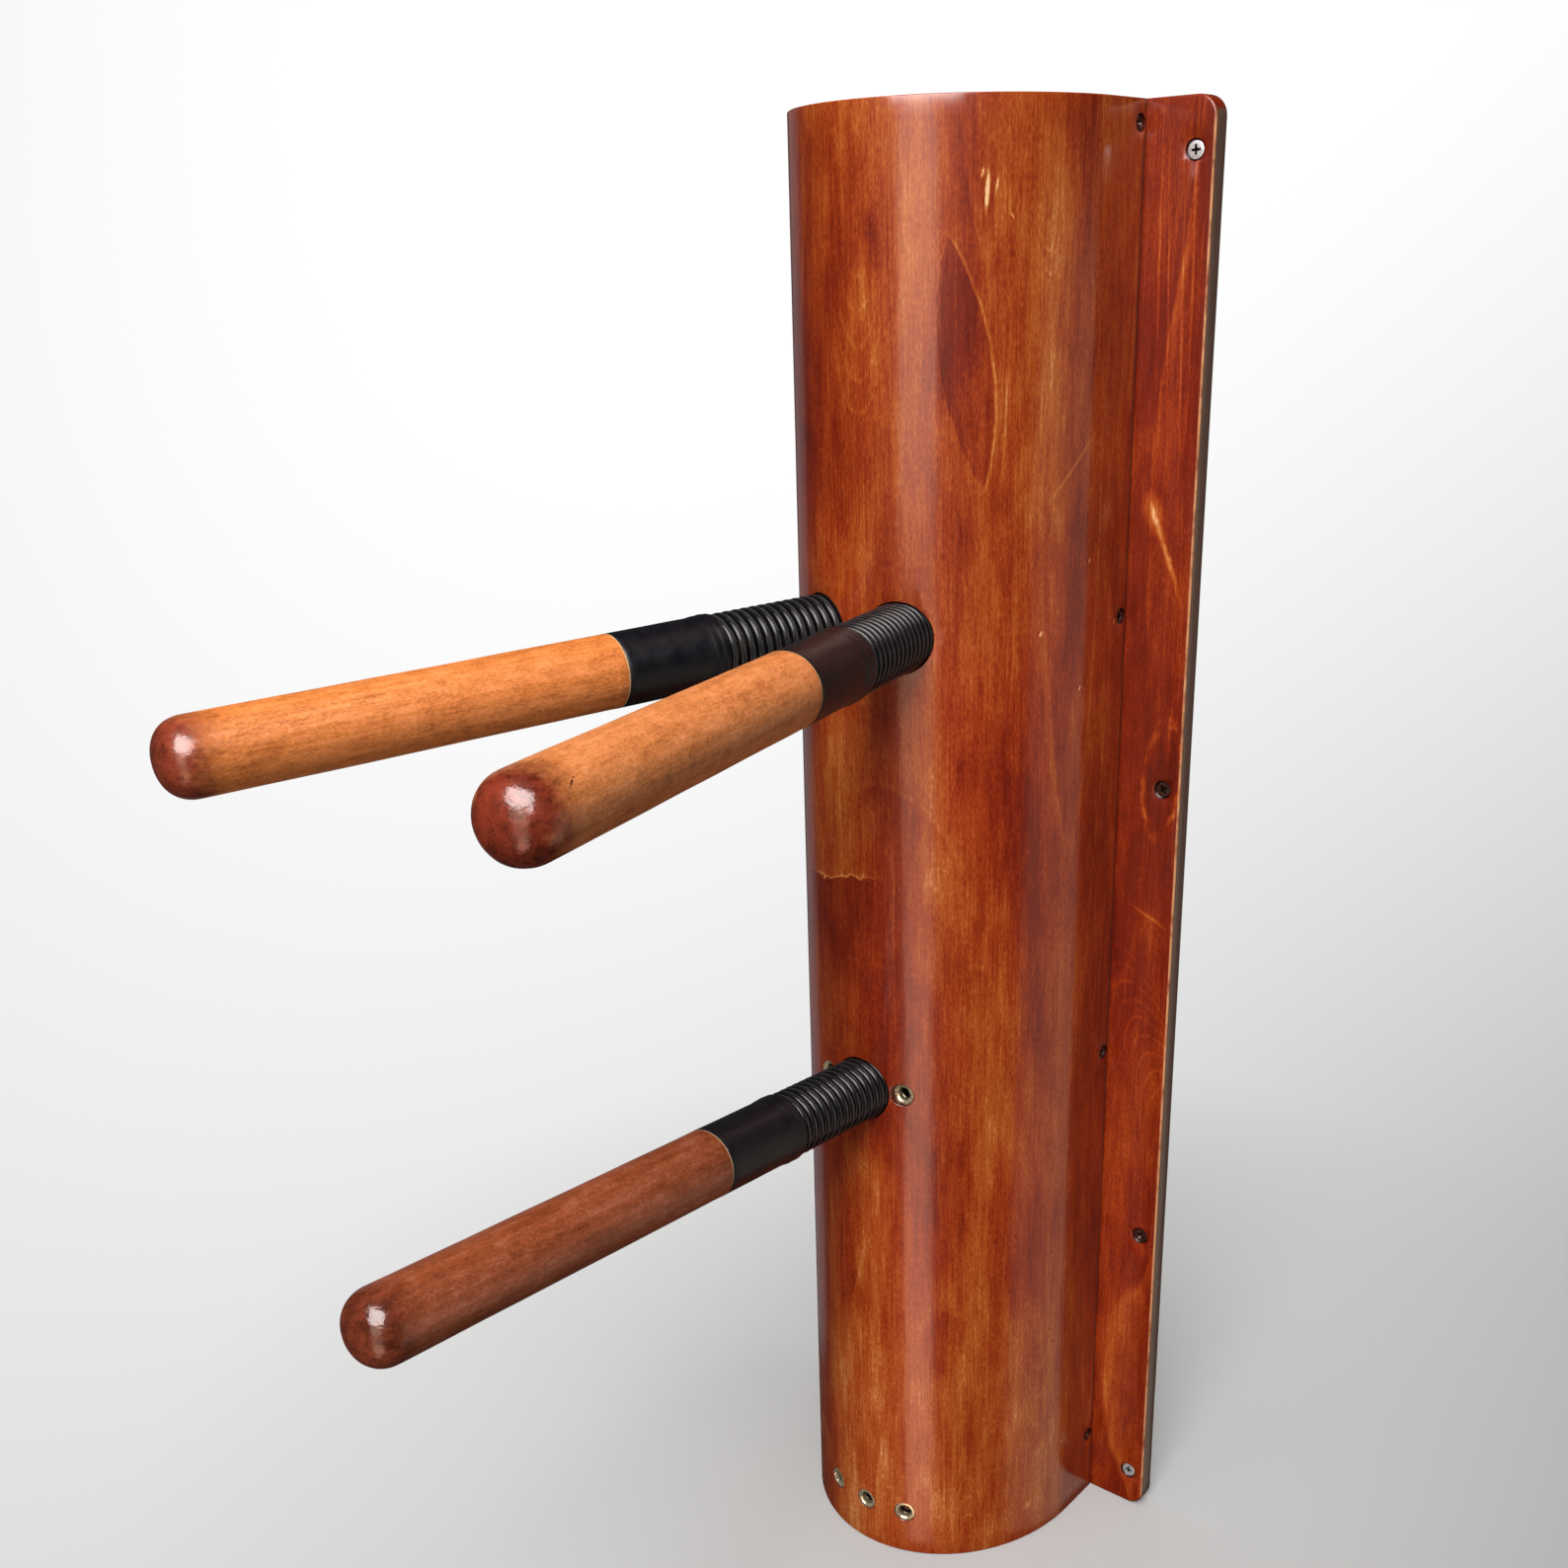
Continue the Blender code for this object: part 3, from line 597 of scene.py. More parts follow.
def new_piece(name, vertices, faces, look, sharp=35.0, **attributes):
    """A mesh in the row frame, with normals out, smooth shading and its point attributes."""
    bm = bmesh.new()
    verts = [bm.verts.new(v) for v in vertices]
    for face in faces:
        bm.faces.new([verts[i] for i in face])
    bmesh.ops.recalc_face_normals(bm, faces=bm.faces)
    mesh = as_mesh(name, bm)
    for key, values in attributes.items():
        values = np.asarray(values, dtype=np.float32)
        kind = "FLOAT_VECTOR" if values.ndim == 2 else "FLOAT"
        field = "vector" if values.ndim == 2 else "value"
        mesh.attributes.new(key, kind, "POINT").data.foreach_set(field, values.ravel())
    mesh.shade_smooth()
    mesh.set_sharp_from_angle(angle=math.radians(sharp))
    mesh.materials.append(look)
    return in_scene(name, mesh)


def strip(first, second):
    """Quads between two closed loops of vertex numbers."""
    count = len(first)
    return [(first[k], first[(k + 1) % count], second[(k + 1) % count], second[k]) for k in range(count)]


def facing(point, direction):
    """A frame at a point whose local Z is the direction and whose local Y leans upwards."""
    along = Vector(direction).normalized()
    across = Vector((0, 0, 1)).cross(along).normalized()
    upward = along.cross(across)
    return Matrix.Translation(point) @ Matrix((across, upward, along)).transposed().to_4x4()


def spun(name, profile, look, place, steps, closed=False, push=None, sharp=35.0):
    """A profile of (radius, along) points turned about the frame's Z axis; push moves each point outwards."""
    local, faces, rings = [], [], []
    for radius, along in profile:
        if radius == 0:
            rings.append([len(local)])
            local.append((0.0, 0.0, along))
            continue
        ring = []
        for k in range(steps):
            angle = 2 * math.pi * k / steps
            wide = radius + (push(angle, along, radius) if push else 0.0)
            ring.append(len(local))
            local.append((wide * math.cos(angle), wide * math.sin(angle), along))
        rings.append(ring)
    pairs = list(zip(rings, rings[1:]))
    if closed:
        pairs.append((rings[-1], rings[0]))
    for low, high in pairs:
        for k in range(steps):
            after = (k + 1) % steps
            corners = (low[k % len(low)], low[after % len(low)], high[after % len(high)], high[k % len(high)])
            faces.append(list(dict.fromkeys(corners)))
    vertices = [place @ Vector(v) for v in local]
    return new_piece(name, vertices, faces, look, sharp, grain=local)


# ---------------------------------------------------------------- panels: trunk shell and back board


class BentShell:
    """The trunk's skin, unrolled: u runs round it from -X to +X, v is the height and depth goes inwards."""

    def __init__(self):
        side = (SHELL_BACK - NOSE_CENTRE) / TRUNK_HALF
        self.turns = np.linspace(math.pi + side, -side, 2001)
        x, y = self.section(self.turns, 0.0)
        run = np.concatenate([[0.0], np.cumsum(np.hypot(np.diff(x), np.diff(y)))])
        self.run = run - run[-1] / 2
        self.half_width = run[-1] / 2
        self.thickness = SHELL_THICKNESS
        self.low, self.high = FOOT, TOP

    def section(self, turn, depth):
        """X and Y at an angle round the nose, from 0 at +X to pi at -X, with the straight sides beyond."""
        round_nose = np.clip(turn, 0.0, math.pi)
        beyond = np.maximum(-turn, 0.0) + np.maximum(turn - math.pi, 0.0)
        x = (TRUNK_HALF - depth) * np.cos(round_nose)
        y = NOSE_CENTRE - (NOSE_DEPTH - depth) * np.sin(round_nose) + beyond * TRUNK_HALF
        return x, y

    def place(self, u, v, depth):
        x, y = self.section(np.interp(u, self.run, self.turns), depth)
        return np.stack([x, y, v], axis=-1)

    def locate(self, points):
        """The (u, v, depth) of points near the shell. On the nose the depth is found by halving a range."""
        x, forward, v = points[:, 0], NOSE_CENTRE - points[:, 1], points[:, 2]
        low, high = np.full(len(points), -0.02), np.full(len(points), 0.06)
        for _ in range(40):
            depth = (low + high) / 2
            outside = (x / (TRUNK_HALF - depth)) ** 2 + (forward / (NOSE_DEPTH - depth)) ** 2 > 1
            high = np.where(outside, depth, high)
            low = np.where(outside, low, depth)
        turn = np.arctan2(forward / (NOSE_DEPTH - depth), x / (TRUNK_HALF - depth))
        straight = forward < 0
        depth = np.where(straight, TRUNK_HALF - np.abs(x), depth)
        along_side = forward / TRUNK_HALF
        turn = np.where(straight, np.where(x > 0, along_side, math.pi - along_side), turn)
        u = np.interp(-turn, -self.turns, self.run)
        return np.stack([u, v, depth], axis=-1)

    def hit(self, point, direction, depth):
        """Where a line leaves the shell's surface at a depth, going out along the direction."""
        wide, deep = TRUNK_HALF - depth, NOSE_DEPTH - depth
        forward, ahead = NOSE_CENTRE - point.y, -direction.y
        a = (direction.x / wide) ** 2 + (ahead / deep) ** 2
        b = point.x * direction.x / wide**2 + forward * ahead / deep**2
        c = (point.x / wide) ** 2 + (forward / deep) ** 2 - 1
        root = b * b - a * c
        reach = (-b + math.sqrt(root)) / a if root >= 0 else 0.0
        if root < 0 or forward + reach * ahead < 0:
            reach = (math.copysign(wide, direction.x) - point.x) / direction.x
        return point + direction * reach


class FlatBoard:
    """The back board: u is X, v is the height and depth goes back towards the wall."""

    def __init__(self):
        self.half_width = BOARD_HIGH.x
        self.thickness = BOARD_THICKNESS
        self.low, self.high = BOARD_LOW.z, BOARD_HIGH.z

    def place(self, u, v, depth):
        u, v, depth = np.broadcast_arrays(u, v, depth)
        return np.stack([u, BOARD_FACE + depth, v], axis=-1)

    def locate(self, points):
        return np.stack([points[:, 0], points[:, 2], points[:, 1] - BOARD_FACE], axis=-1)

    def hit(self, point, direction, depth):
        return point + direction * ((BOARD_FACE + depth - point.y) / direction.y)


def grid_lines(low, high, step):
    count = max(2, round((high - low) / step))
    return np.linspace(low, high, count + 1)


def rounded_outline(form, corner, inset, columns, rows):
    """The panel's outline, drawn in by an inset, with a point on every grid line between its corners."""
    steps = 8
    middle = (form.low + form.high) / 2
    half_u, half_v = form.half_width, (form.high - form.low) / 2
    flat_u = columns[np.abs(columns) < half_u - corner * 1.2]
    flat_v = rows[np.abs(rows - middle) < half_v - corner * 1.2]
    radius = corner - inset
    edges = (
        [(u, form.high - inset) for u in flat_u[::-1]],
        [(inset - half_u, v) for v in flat_v[::-1]],
        [(u, form.low + inset) for u in flat_u],
        [(half_u - inset, v) for v in flat_v],
    )
    points = []
    for quarter, (side_u, side_v) in enumerate(((1, 1), (-1, 1), (-1, -1), (1, -1))):
        centre = (side_u * (half_u - corner), middle + side_v * (half_v - corner))
        for k in range(steps + 1):
            angle = math.pi / 2 * (quarter + k / steps)
            points.append((centre[0] + radius * math.cos(angle), centre[1] + radius * math.sin(angle)))
        points += edges[quarter]
    return np.array(points)


def bore_ring(form, bore, kind, radius, place_value):
    """A ring of a bore: on the panel's surface at a depth, or on a plane across the bore at a height."""
    ring = []
    direction = bore["place"].to_3x3() @ Vector((0, 0, 1))
    for k in range(bore["steps"]):
        angle = 2 * math.pi * k / bore["steps"]
        local = Vector((radius * math.cos(angle), radius * math.sin(angle), 0))
        if kind == "plane":
            ring.append(bore["place"] @ (local + Vector((0, 0, place_value))))
        else:
            ring.append(form.hit(bore["place"] @ local, direction, place_value))
    return np.array(ring)


def is_clear(form, bores, u, v):
    """Whether a grid point keeps away from the bores and from the panel's rounded corners."""
    for bore in bores:
        if math.hypot(u - bore["centre"][0], v - bore["centre"][1]) <= bore["reach"] + GRID_MARGIN:
            return False
    corner_u = abs(u) - (form.half_width - BOARD_CORNER)
    corner_v = abs(v - (form.low + form.high) / 2) - ((form.high - form.low) / 2 - BOARD_CORNER)
    in_corner = corner_u > 0 and corner_v > 0
    return not (in_corner and math.hypot(corner_u, corner_v) > BOARD_CORNER - 2 * GRID_MARGIN)


def fill(form, loops, columns, rows, add_vertices, depth):
    """Triangles over the panel's surface between its outline and the bores' mouths."""
    flat, edges, ids, owner = [], [], [], {}
    for which, loop in enumerate(loops):
        start, count = len(flat), len(loop["uv"])
        flat += [tuple(p) for p in loop["uv"]]
        ids += loop["ids"]
        edges += [(start + k, start + (k + 1) % count) for k in range(count)]
        owner.update({start + k: which for k in range(count)})
    outline = loops[0]["uv"]
    inner_u = np.abs(outline[:, 0]).max() - GRID_MARGIN
    low_v, high_v = outline[:, 1].min() + GRID_MARGIN, outline[:, 1].max() - GRID_MARGIN
    grid = [(u, v) for u in columns if abs(u) < inner_u for v in rows if low_v < v < high_v]
    kept = np.array([(u, v) for u, v in grid if is_clear(form, loops[1:], u, v)])
    ids += add_vertices(form.place(kept[:, 0], kept[:, 1], np.full(len(kept), depth)))
    flat += [tuple(p) for p in kept]
    result = delaunay_2d_cdt([Vector(p) for p in flat], edges, [], 0, 1e-7)
    faces, sources = result[2], result[3]
    triangles = []
    for face in faces:
        corners = [sources[i][0] for i in face]
        holders = {owner.get(c, -1) for c in corners}
        inside_a_bore = len(holders) == 1 and holders.pop() > 0
        if not inside_a_bore:
            triangles.append([ids[c] for c in corners])
    return triangles


def panel(name, form, corner, edge, spacing, bores, look, wear, seam_shade_width):
    """A panel with rounded edges, bored through. Its outer surface is fine and its hidden one is coarse."""
    points = []

    def add_vertices(new):
        start = len(points)
        points.extend(np.asarray(new, dtype=float))
        return list(range(start, start + len(new)))

    columns = grid_lines(-form.half_width, form.half_width, spacing[0])
    rows = grid_lines(form.low, form.high, spacing[1])
    faces = []
    turns = np.linspace(0.0, math.pi / 2, 5)
    bands = [(edge * (1 - math.sin(a)), edge * (1 - math.cos(a))) for a in turns]
    bands += [(edge * (1 - math.sin(a)), form.thickness - edge * (1 - math.cos(a))) for a in turns[::-1]]
    rings = []
    for inset, depth in bands:
        uv = rounded_outline(form, corner, inset, columns, rows)
        ids = add_vertices(form.place(uv[:, 0], uv[:, 1], np.full(len(uv), depth)))
        rings.append({"uv": uv, "ids": ids})
    for first, second in zip(rings, rings[1:]):
        faces += strip(first["ids"], second["ids"])
    outer_loops, inner_loops = [rings[0]], [rings[-1]]
    for bore in bores:
        loops = []
        for kind, radius, value in bore["rings"]:
            ring = bore_ring(form, bore, kind, radius, value)
            uv = form.locate(ring)[:, :2]
            centre = uv.mean(axis=0)
            reach = np.hypot(*(uv - centre).T).max()
            loops.append({"uv": uv, "ids": add_vertices(ring), "centre": centre, "reach": reach})
        for first, second in zip(loops, loops[1:]):
            faces += strip(first["ids"], second["ids"])
        outer_loops.append(loops[0])
        inner_loops.append(loops[-1])
    faces += fill(form, outer_loops, columns, rows, add_vertices, 0.0)
    coarse = grid_lines(form.low, form.high, HIDDEN_ROWS)
    faces += fill(form, inner_loops, columns, coarse, add_vertices, form.thickness)

    points = np.array(points)
    unrolled = form.locate(points)
    u, v, depth = unrolled.T
    swell = np.array([noise.noise((a * 14, 0.7, b * 3.2)) for a, b in zip(u, v)])
    swell += 0.3 * np.array([noise.noise((a * 55, 4.1, b * 12)) for a, b in zip(u, v)])
    points = form.place(u, v, depth - (WAVE if form.thickness < BOARD_THICKNESS else WAVE / 2) * swell)

    middle = (form.low + form.high) / 2
    to_end = (form.high - form.low) / 2 - np.abs(v - middle)
    to_side = form.half_width - np.abs(u)
    rim = np.minimum(to_end, to_side)
    cut_edge = ((rim < edge * 0.3) & (depth > edge * 0.7)).astype(float)
    worn = wear * ((to_side < edge * 0.8) & (depth < edge * 0.8))
    # Where the painted shade goes: a strip along the seam beside the board, the hidden inner face and the
    # walls of the bores
    recess = ((to_side < seam_shade_width) | (depth > form.thickness - 0.0001)).astype(float)
    for bore in bores:
        axis = bore["place"].to_3x3() @ Vector((0, 0, 1))
        offset = points - np.array(bore["place"].translation)
        across = offset - np.outer(offset @ np.array(axis), np.array(axis))
        inside = np.hypot.reduce(across, axis=1) < bore["rings"][0][1] * 1.002
        recess = np.where(inside & (depth > 0.0001), 1.0, recess)
    grain = np.stack([u, depth, v], axis=-1)
    shades = {"cut_edge": cut_edge, "worn": worn, "recess": recess}
    return new_piece(name, points, faces, look, 40.0, grain=grain, **shades)


# ---------------------------------------------------------------- where the pieces are


def arm_frames():
    """Each arm's axis, from its two hinges: the origin is on the trunk's surface and +Z points outwards."""
    joints = {joint["name"]: Vector(joint["pos_m"]) for joint in frame["joints"]}
    frames = {}
    for name in ARM_NAMES:
        root, outer = joints[name + "_sway"], joints[name + "_lift"]
        along = (outer - root).normalized()
        frames[name] = facing(root - along * SWAY_PLACE, along)
    return frames


def mouth_frame(node, direction):
    """A frame at the outer end of a node that was turned about the direction."""
    low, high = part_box(node)
    direction = Vector(direction).normalized()
    vertices = [Vector(v.co) for v in frame["nodes"][node].data.vertices]
    middle = (low + high) / 2
    out = max(v.dot(direction) for v in vertices)
    return facing(middle + direction * (out - middle.dot(direction)), direction)


def screw_places():
    """Each screw's name, its head's frame, its head's radius and its length."""
    places = []
    for side, sign in (("left", -1), ("right", 1)):
        for number in range(1, 5):
            for row, radius, direction in (
                ("flange", FLANGE_HEAD_RADIUS, (0, -1, 0)),
                ("side", SIDE_HEAD_RADIUS, (sign, 0, 0)),
            ):
                name = f"{row}_screw_{side}_{number}"
                low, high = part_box(name)
                length = (high - low).y if row == "flange" else (high - low).x
                places.append((name, mouth_frame(name, direction), radius, length))
    return places


def insert_places():
    """Each insert's name and its rim's frame. Only the foot row leans with the trunk's surface."""
    places = []
    for node in sorted(n for n in frame["nodes"] if n.startswith("insert_")):
        direction = Vector((0, -1, 0))
        if "foot" in node:
            word = node.split("_")[-1]
            x = {"left": -1, "middle": 0, "right": 1}[word] * FOOT_INSERT_SPACING
            forward = NOSE_DEPTH * math.sqrt(1 - (x / TRUNK_HALF) ** 2)
            direction = Vector((x / TRUNK_HALF**2, -forward / NOSE_DEPTH**2, 0))
        places.append((node, mouth_frame(node, direction)))
    return places


# ---------------------------------------------------------------- pieces


def arm_bore(place):
    radius = SPRING_RADIUS + BORE_CLEARANCE
    lip = 0.0007
    turns = (0, 0.5, 1.0, math.pi / 2)
    rings = [("surface", radius + lip * (1 - math.sin(a)), lip * (1 - math.cos(a))) for a in turns]
    rings.append(("surface", radius, SHELL_THICKNESS))
    return {"place": place, "steps": 72, "rings": rings}


def insert_bore(place):
    """The insert's stepped hole, counted from its rim's face."""
    rim = INSERT_RIM_RADIUS + GAP
    body = INSERT_BODY_RADIUS + GAP
    seat = -INSERT_RIM_THICKNESS - INSERT_SEAT
    rings = [
        ("surface", rim + 0.0002, 0.0),
        ("surface", rim, 0.0002),
        ("plane", rim, seat),
        ("plane", body, seat),
        ("surface", body, SHELL_THICKNESS),
    ]
    return {"place": place, "steps": 36, "rings": rings}


def screw_bore(place, head_radius, thickness):
    mouth = head_radius + COUNTERSINK_MARGIN
    clear = SCREW_RADIUS + BORE_CLEARANCE
    rings = [
        ("surface", mouth + 0.0002, 0.0),
        ("surface", mouth, 0.00015),
        ("plane", mouth, -BORE_CLEARANCE),
        ("plane", clear, -SCREW_HEAD_HEIGHT - BORE_CLEARANCE),
        ("surface", clear, thickness),
    ]
    return {"place": place, "steps": 36, "rings": rings}


def make_trunk(looks, arms, screws, inserts):
    bores = [arm_bore(place) for place in arms.values()]
    bores += [insert_bore(place) for _, place in inserts]
    bores += [screw_bore(*screw[1:3], SHELL_THICKNESS) for screw in screws if "side" in screw[0]]
    shape = (BentShell(), SHELL_CORNER, SHELL_EDGE, (0.004, 0.012))
    skin = panel("trunk_front", *shape, bores, looks["trunk"], wear=0.0, seam_shade_width=0.0012)
    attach(skin, "trunk")
    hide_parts("trunk_shell")


def make_board(looks, screws):
    bores = [screw_bore(*screw[1:3], BOARD_THICKNESS) for screw in screws if "flange" in screw[0]]
    shape = (FlatBoard(), BOARD_CORNER, BOARD_EDGE, (0.008, 0.012))
    board = panel("wall_board", *shape, bores, looks["board"], wear=0.9, seam_shade_width=0.0)
    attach(board, "trunk")
    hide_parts("back_board")


def cross_recess(radius):
    """A cutter for a cross-shaped drive recess that tapers with depth, in shares of the head's radius."""
    bm = bmesh.new()
    rings = []
    for reach, half, height in ((0.70, 0.15, 0.20), (0.62, 0.13, 0.0), (0.24, 0.07, -0.52)):
        ring = []
        for quarter in range(4):
            for x, y in ((reach, -half), (reach, half), (half * 1.3, half * 1.3)):
                corner = Matrix.Rotation(math.pi / 2 * quarter, 3, "Z") @ Vector((x, y, height))
                ring.append(bm.verts.new(corner * radius))
        rings.append(ring)
    for low, high in zip(rings, rings[1:]):
        for face in strip(range(12), range(12, 24)):
            bm.faces.new([(low + high)[k] for k in face])
    bm.faces.new(rings[0])
    bm.faces.new(rings[-1])
    bmesh.ops.recalc_face_normals(bm, faces=bm.faces)
    return in_scene("recess", as_mesh("recess", bm))


def make_screw(name, place, radius, length, turn, look):
    """A countersunk screw with a cross recess, a rounded head edge and a thread."""
    place = place @ Matrix.Rotation(turn, 4, "Z")
    profile = [(0, 0.0), (radius * 0.55, 0.0), (radius * 0.9, -0.00006), (radius * 0.985, -0.0002)]
    profile += [(radius, -0.0004), (radius * 0.96, -0.00065), (SCREW_RADIUS, -SCREW_HEAD_HEIGHT)]
    thread_top = -SCREW_HEAD_HEIGHT - 0.002
    count = max(4, round((length + thread_top - 0.002) / THREAD_PITCH * 6))
    for k in range(count + 1):
        profile.append((SCREW_RADIUS - 0.0003, thread_top + (-length + 0.002 - thread_top) * k / count))
    profile += [(SCREW_RADIUS * 0.4, -length), (0, -length)]

    def thread(angle, along, wide):
        if along > thread_top or along < -length + 0.0015:
            return 0.0
        turn_share = (along / THREAD_PITCH + angle / (2 * math.pi)) % 1.0
        return 0.0005 * max(0.0, 1 - abs(turn_share - 0.5) * 5)

    screw = spun(name + "_driven", profile, look, Matrix.Identity(4), 24, push=thread)
    cutter = cross_recess(radius)
    hole = screw.modifiers.new("recess", "BOOLEAN")
    hole.operation = "DIFFERENCE"
    hole.solver = "EXACT"
    hole.object = cutter
    bpy.context.view_layer.update()
    cut_mesh = bpy.data.meshes.new_from_object(screw.evaluated_get(bpy.context.evaluated_depsgraph_get()))
    screw.modifiers.clear()
    screw.data = cut_mesh
    bpy.data.objects.remove(cutter)
    depths = np.array([v.co for v in cut_mesh.vertices], dtype=np.float32)
    cut_mesh.attributes["grain"].data.foreach_set("vector", depths.ravel())
    cut_mesh.transform(place)
    cut_mesh.shade_smooth()
    cut_mesh.set_sharp_from_angle(angle=math.radians(30))
    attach(screw, "trunk")
    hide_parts(name)
    return screw


def make_insert(name, place, look):
    """A threaded insert: bevelled rim, hexagonal drive at the mouth, thread below it."""
    rim_edge = 0.0003
    inner = INSERT_BORE_RADIUS
    profile = [
        (INSERT_BODY_RADIUS, -INSERT_LENGTH),
        (INSERT_BODY_RADIUS, -INSERT_RIM_THICKNESS),
        (INSERT_RIM_RADIUS, -INSERT_RIM_THICKNESS),
        (INSERT_RIM_RADIUS, -rim_edge),
        (INSERT_RIM_RADIUS - 0.00009, -0.00009),
        (INSERT_RIM_RADIUS - rim_edge, 0.0),
        (inner + 0.0009, 0.0),
        (inner + 0.0002, -0.0007),
    ]
    hex_steps = 3
    for k in range(hex_steps + 1):
        profile.append((inner - 0.0001, -0.0009 - (INSERT_DRIVE_DEPTH - 0.0009) * k / hex_steps))
    thread_steps = 40
    thread_start = -INSERT_DRIVE_DEPTH - 0.0004
    thread_run = INSERT_LENGTH - INSERT_DRIVE_DEPTH - 0.0006
    for k in range(thread_steps + 1):
        profile.append((inner - 0.0006, thread_start - thread_run * k / thread_steps))

    def drive(angle, along, wide):
        if wide >= inner or along <= -INSERT_LENGTH + 0.0001:
            return 0.0
        if along >= -INSERT_DRIVE_DEPTH:
            flat = (angle % (math.pi / 3)) - math.pi / 6
            return (inner - 0.0004) / math.cos(flat) - wide
        turn_share = (along / INSERT_PITCH + angle / (2 * math.pi)) % 1.0
        return 0.0004 * abs(2 * turn_share - 1)

    piece = spun(name + "_brass", profile, look, place, 48, closed=True, push=drive)
    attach(piece, "trunk")
    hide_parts(name)


def make_block(node, name, look):
    """A half-round block with softened edges, in place of a faceted one."""
    low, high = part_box(node)
    half, soft, steps = high.x, 0.0006, 96
    inset = TRUNK_HALF - half
    points, faces, loops = [], [], []
    for z, shrink in ((low.z, soft), (low.z + soft, 0.0), (high.z - soft, 0.0), (high.z, soft)):
        loop = []
        wide, deep = half - shrink, NOSE_DEPTH - inset - shrink
        outline = [(wide, high.y - shrink)]
        for k in range(steps + 1):
            angle = math.pi * k / steps
            outline.append((wide * math.cos(angle), NOSE_CENTRE - deep * math.sin(angle)))
        outline.append((-wide, high.y - shrink))
        for x, y in outline:
            loop.append(len(points))
            points.append((x, y, z))
        loops.append(loop)
    for first, second in zip(loops, loops[1:]):
        faces += strip(first, second)
    faces += [loops[0], loops[-1]]
    block = new_piece(name, points, faces, look, 30.0, grain=[(p[0], p[2], p[1]) for p in points])
    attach(block, "trunk")
    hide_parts(node)


def helix_half(name, place, low, high, look):
    """A stretch of the spring between two places along it, as round wire."""
    sides, per_turn = 16, 60
    first = SPRING_START + WIRE_RADIUS
    radius = SPRING_RADIUS - WIRE_RADIUS
    start = (max(low, first) - first) / SPRING_PITCH
    end = (min(high, SPRING_END - WIRE_RADIUS) - first) / SPRING_PITCH
    count = round((end - start) * per_turn)
    local, worn, faces, rings = [], [], [], []
    for k in range(count + 1):
        turn = start + (end - start) * k / count
        angle = 2 * math.pi * turn
        outward = Vector((math.cos(angle), math.sin(angle), 0))
        centre = outward * radius + Vector((0, 0, first + SPRING_PITCH * turn))
        ring = []
        for side in range(sides):
            phase = 2 * math.pi * side / sides
            ring.append(len(local))
            local.append(centre + WIRE_RADIUS * (outward * math.cos(phase) + Vector((0, 0, math.sin(phase)))))
            # The wire's outer side, lighter for wear and for a painted highlight along the crests
            worn.append(max(0.0, math.cos(phase)) ** 20)
        rings.append(ring)
    for first_ring, second_ring in zip(rings, rings[1:]):
        faces += strip(first_ring, second_ring)
    faces += [rings[0], rings[-1]]
    vertices = [place @ v for v in local]
    return new_piece(name, vertices, faces, look, 50.0, grain=local, worn=worn)


def make_spring(name, place, look):
    node = name + "_spring"

    def at(along):
        return place @ Vector((0, 0, along))

    inner = helix_half(name + "_spring_root", place, SPRING_START, SPRING_SPLIT, look)
    outer = helix_half(name + "_spring_front", place, SPRING_SPLIT, SPRING_END, look)
    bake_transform(inner)
    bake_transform(outer)
    for piece in (inner, outer):
        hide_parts(node)


def make_handle(name, place, look):
    """The turned arm: tenon, neck, shoulder, body and domed tip."""
    soft = 0.0006
    shoulder = SLEEVE_END + GAP
    profile = [
        (0, TENON_START),
        (TENON_RADIUS - 0.002, TENON_START),
        (TENON_RADIUS, TENON_START + 0.002),
        (TENON_RADIUS, SPRING_END + GAP),
        (NECK_RADIUS, SPRING_END + GAP),
        (NECK_RADIUS, shoulder),
        (ARM_RADIUS - soft, shoulder),
        (ARM_RADIUS - soft * 0.3, shoulder + soft * 0.3),
        (ARM_RADIUS, shoulder + soft),
    ]
    body_end = ARM_TIP - ARM_DOME
    rows = 40
    for k in range(1, rows):
        profile.append((ARM_RADIUS, shoulder + soft + (body_end - shoulder - soft) * k / rows))
    steps = 22
    for k in range(steps):
        angle = math.pi / 2 * k / steps
        radius = ARM_RADIUS * math.cos(angle) ** (2 / DOME_SQUARENESS)
        profile.append((radius, body_end + ARM_DOME * math.sin(angle) ** (2 / DOME_SQUARENESS)))
    profile.append((0, ARM_TIP))
    seed = ARM_NAMES.index(name) * 7.3

    def uneven(angle, along, wide):
        if along <= shoulder + soft:
            return 0.0
        spot = (2.2 * math.cos(angle) + seed, 2.2 * math.sin(angle), along * 22)
        return 0.00022 * noise.noise(spot) * wide / ARM_RADIUS - 0.00012

    handle = spun(name + "_handle_turned", profile, look, place, 96, push=uneven)
    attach(handle, name + "_arm")
    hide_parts(name + "_handle")


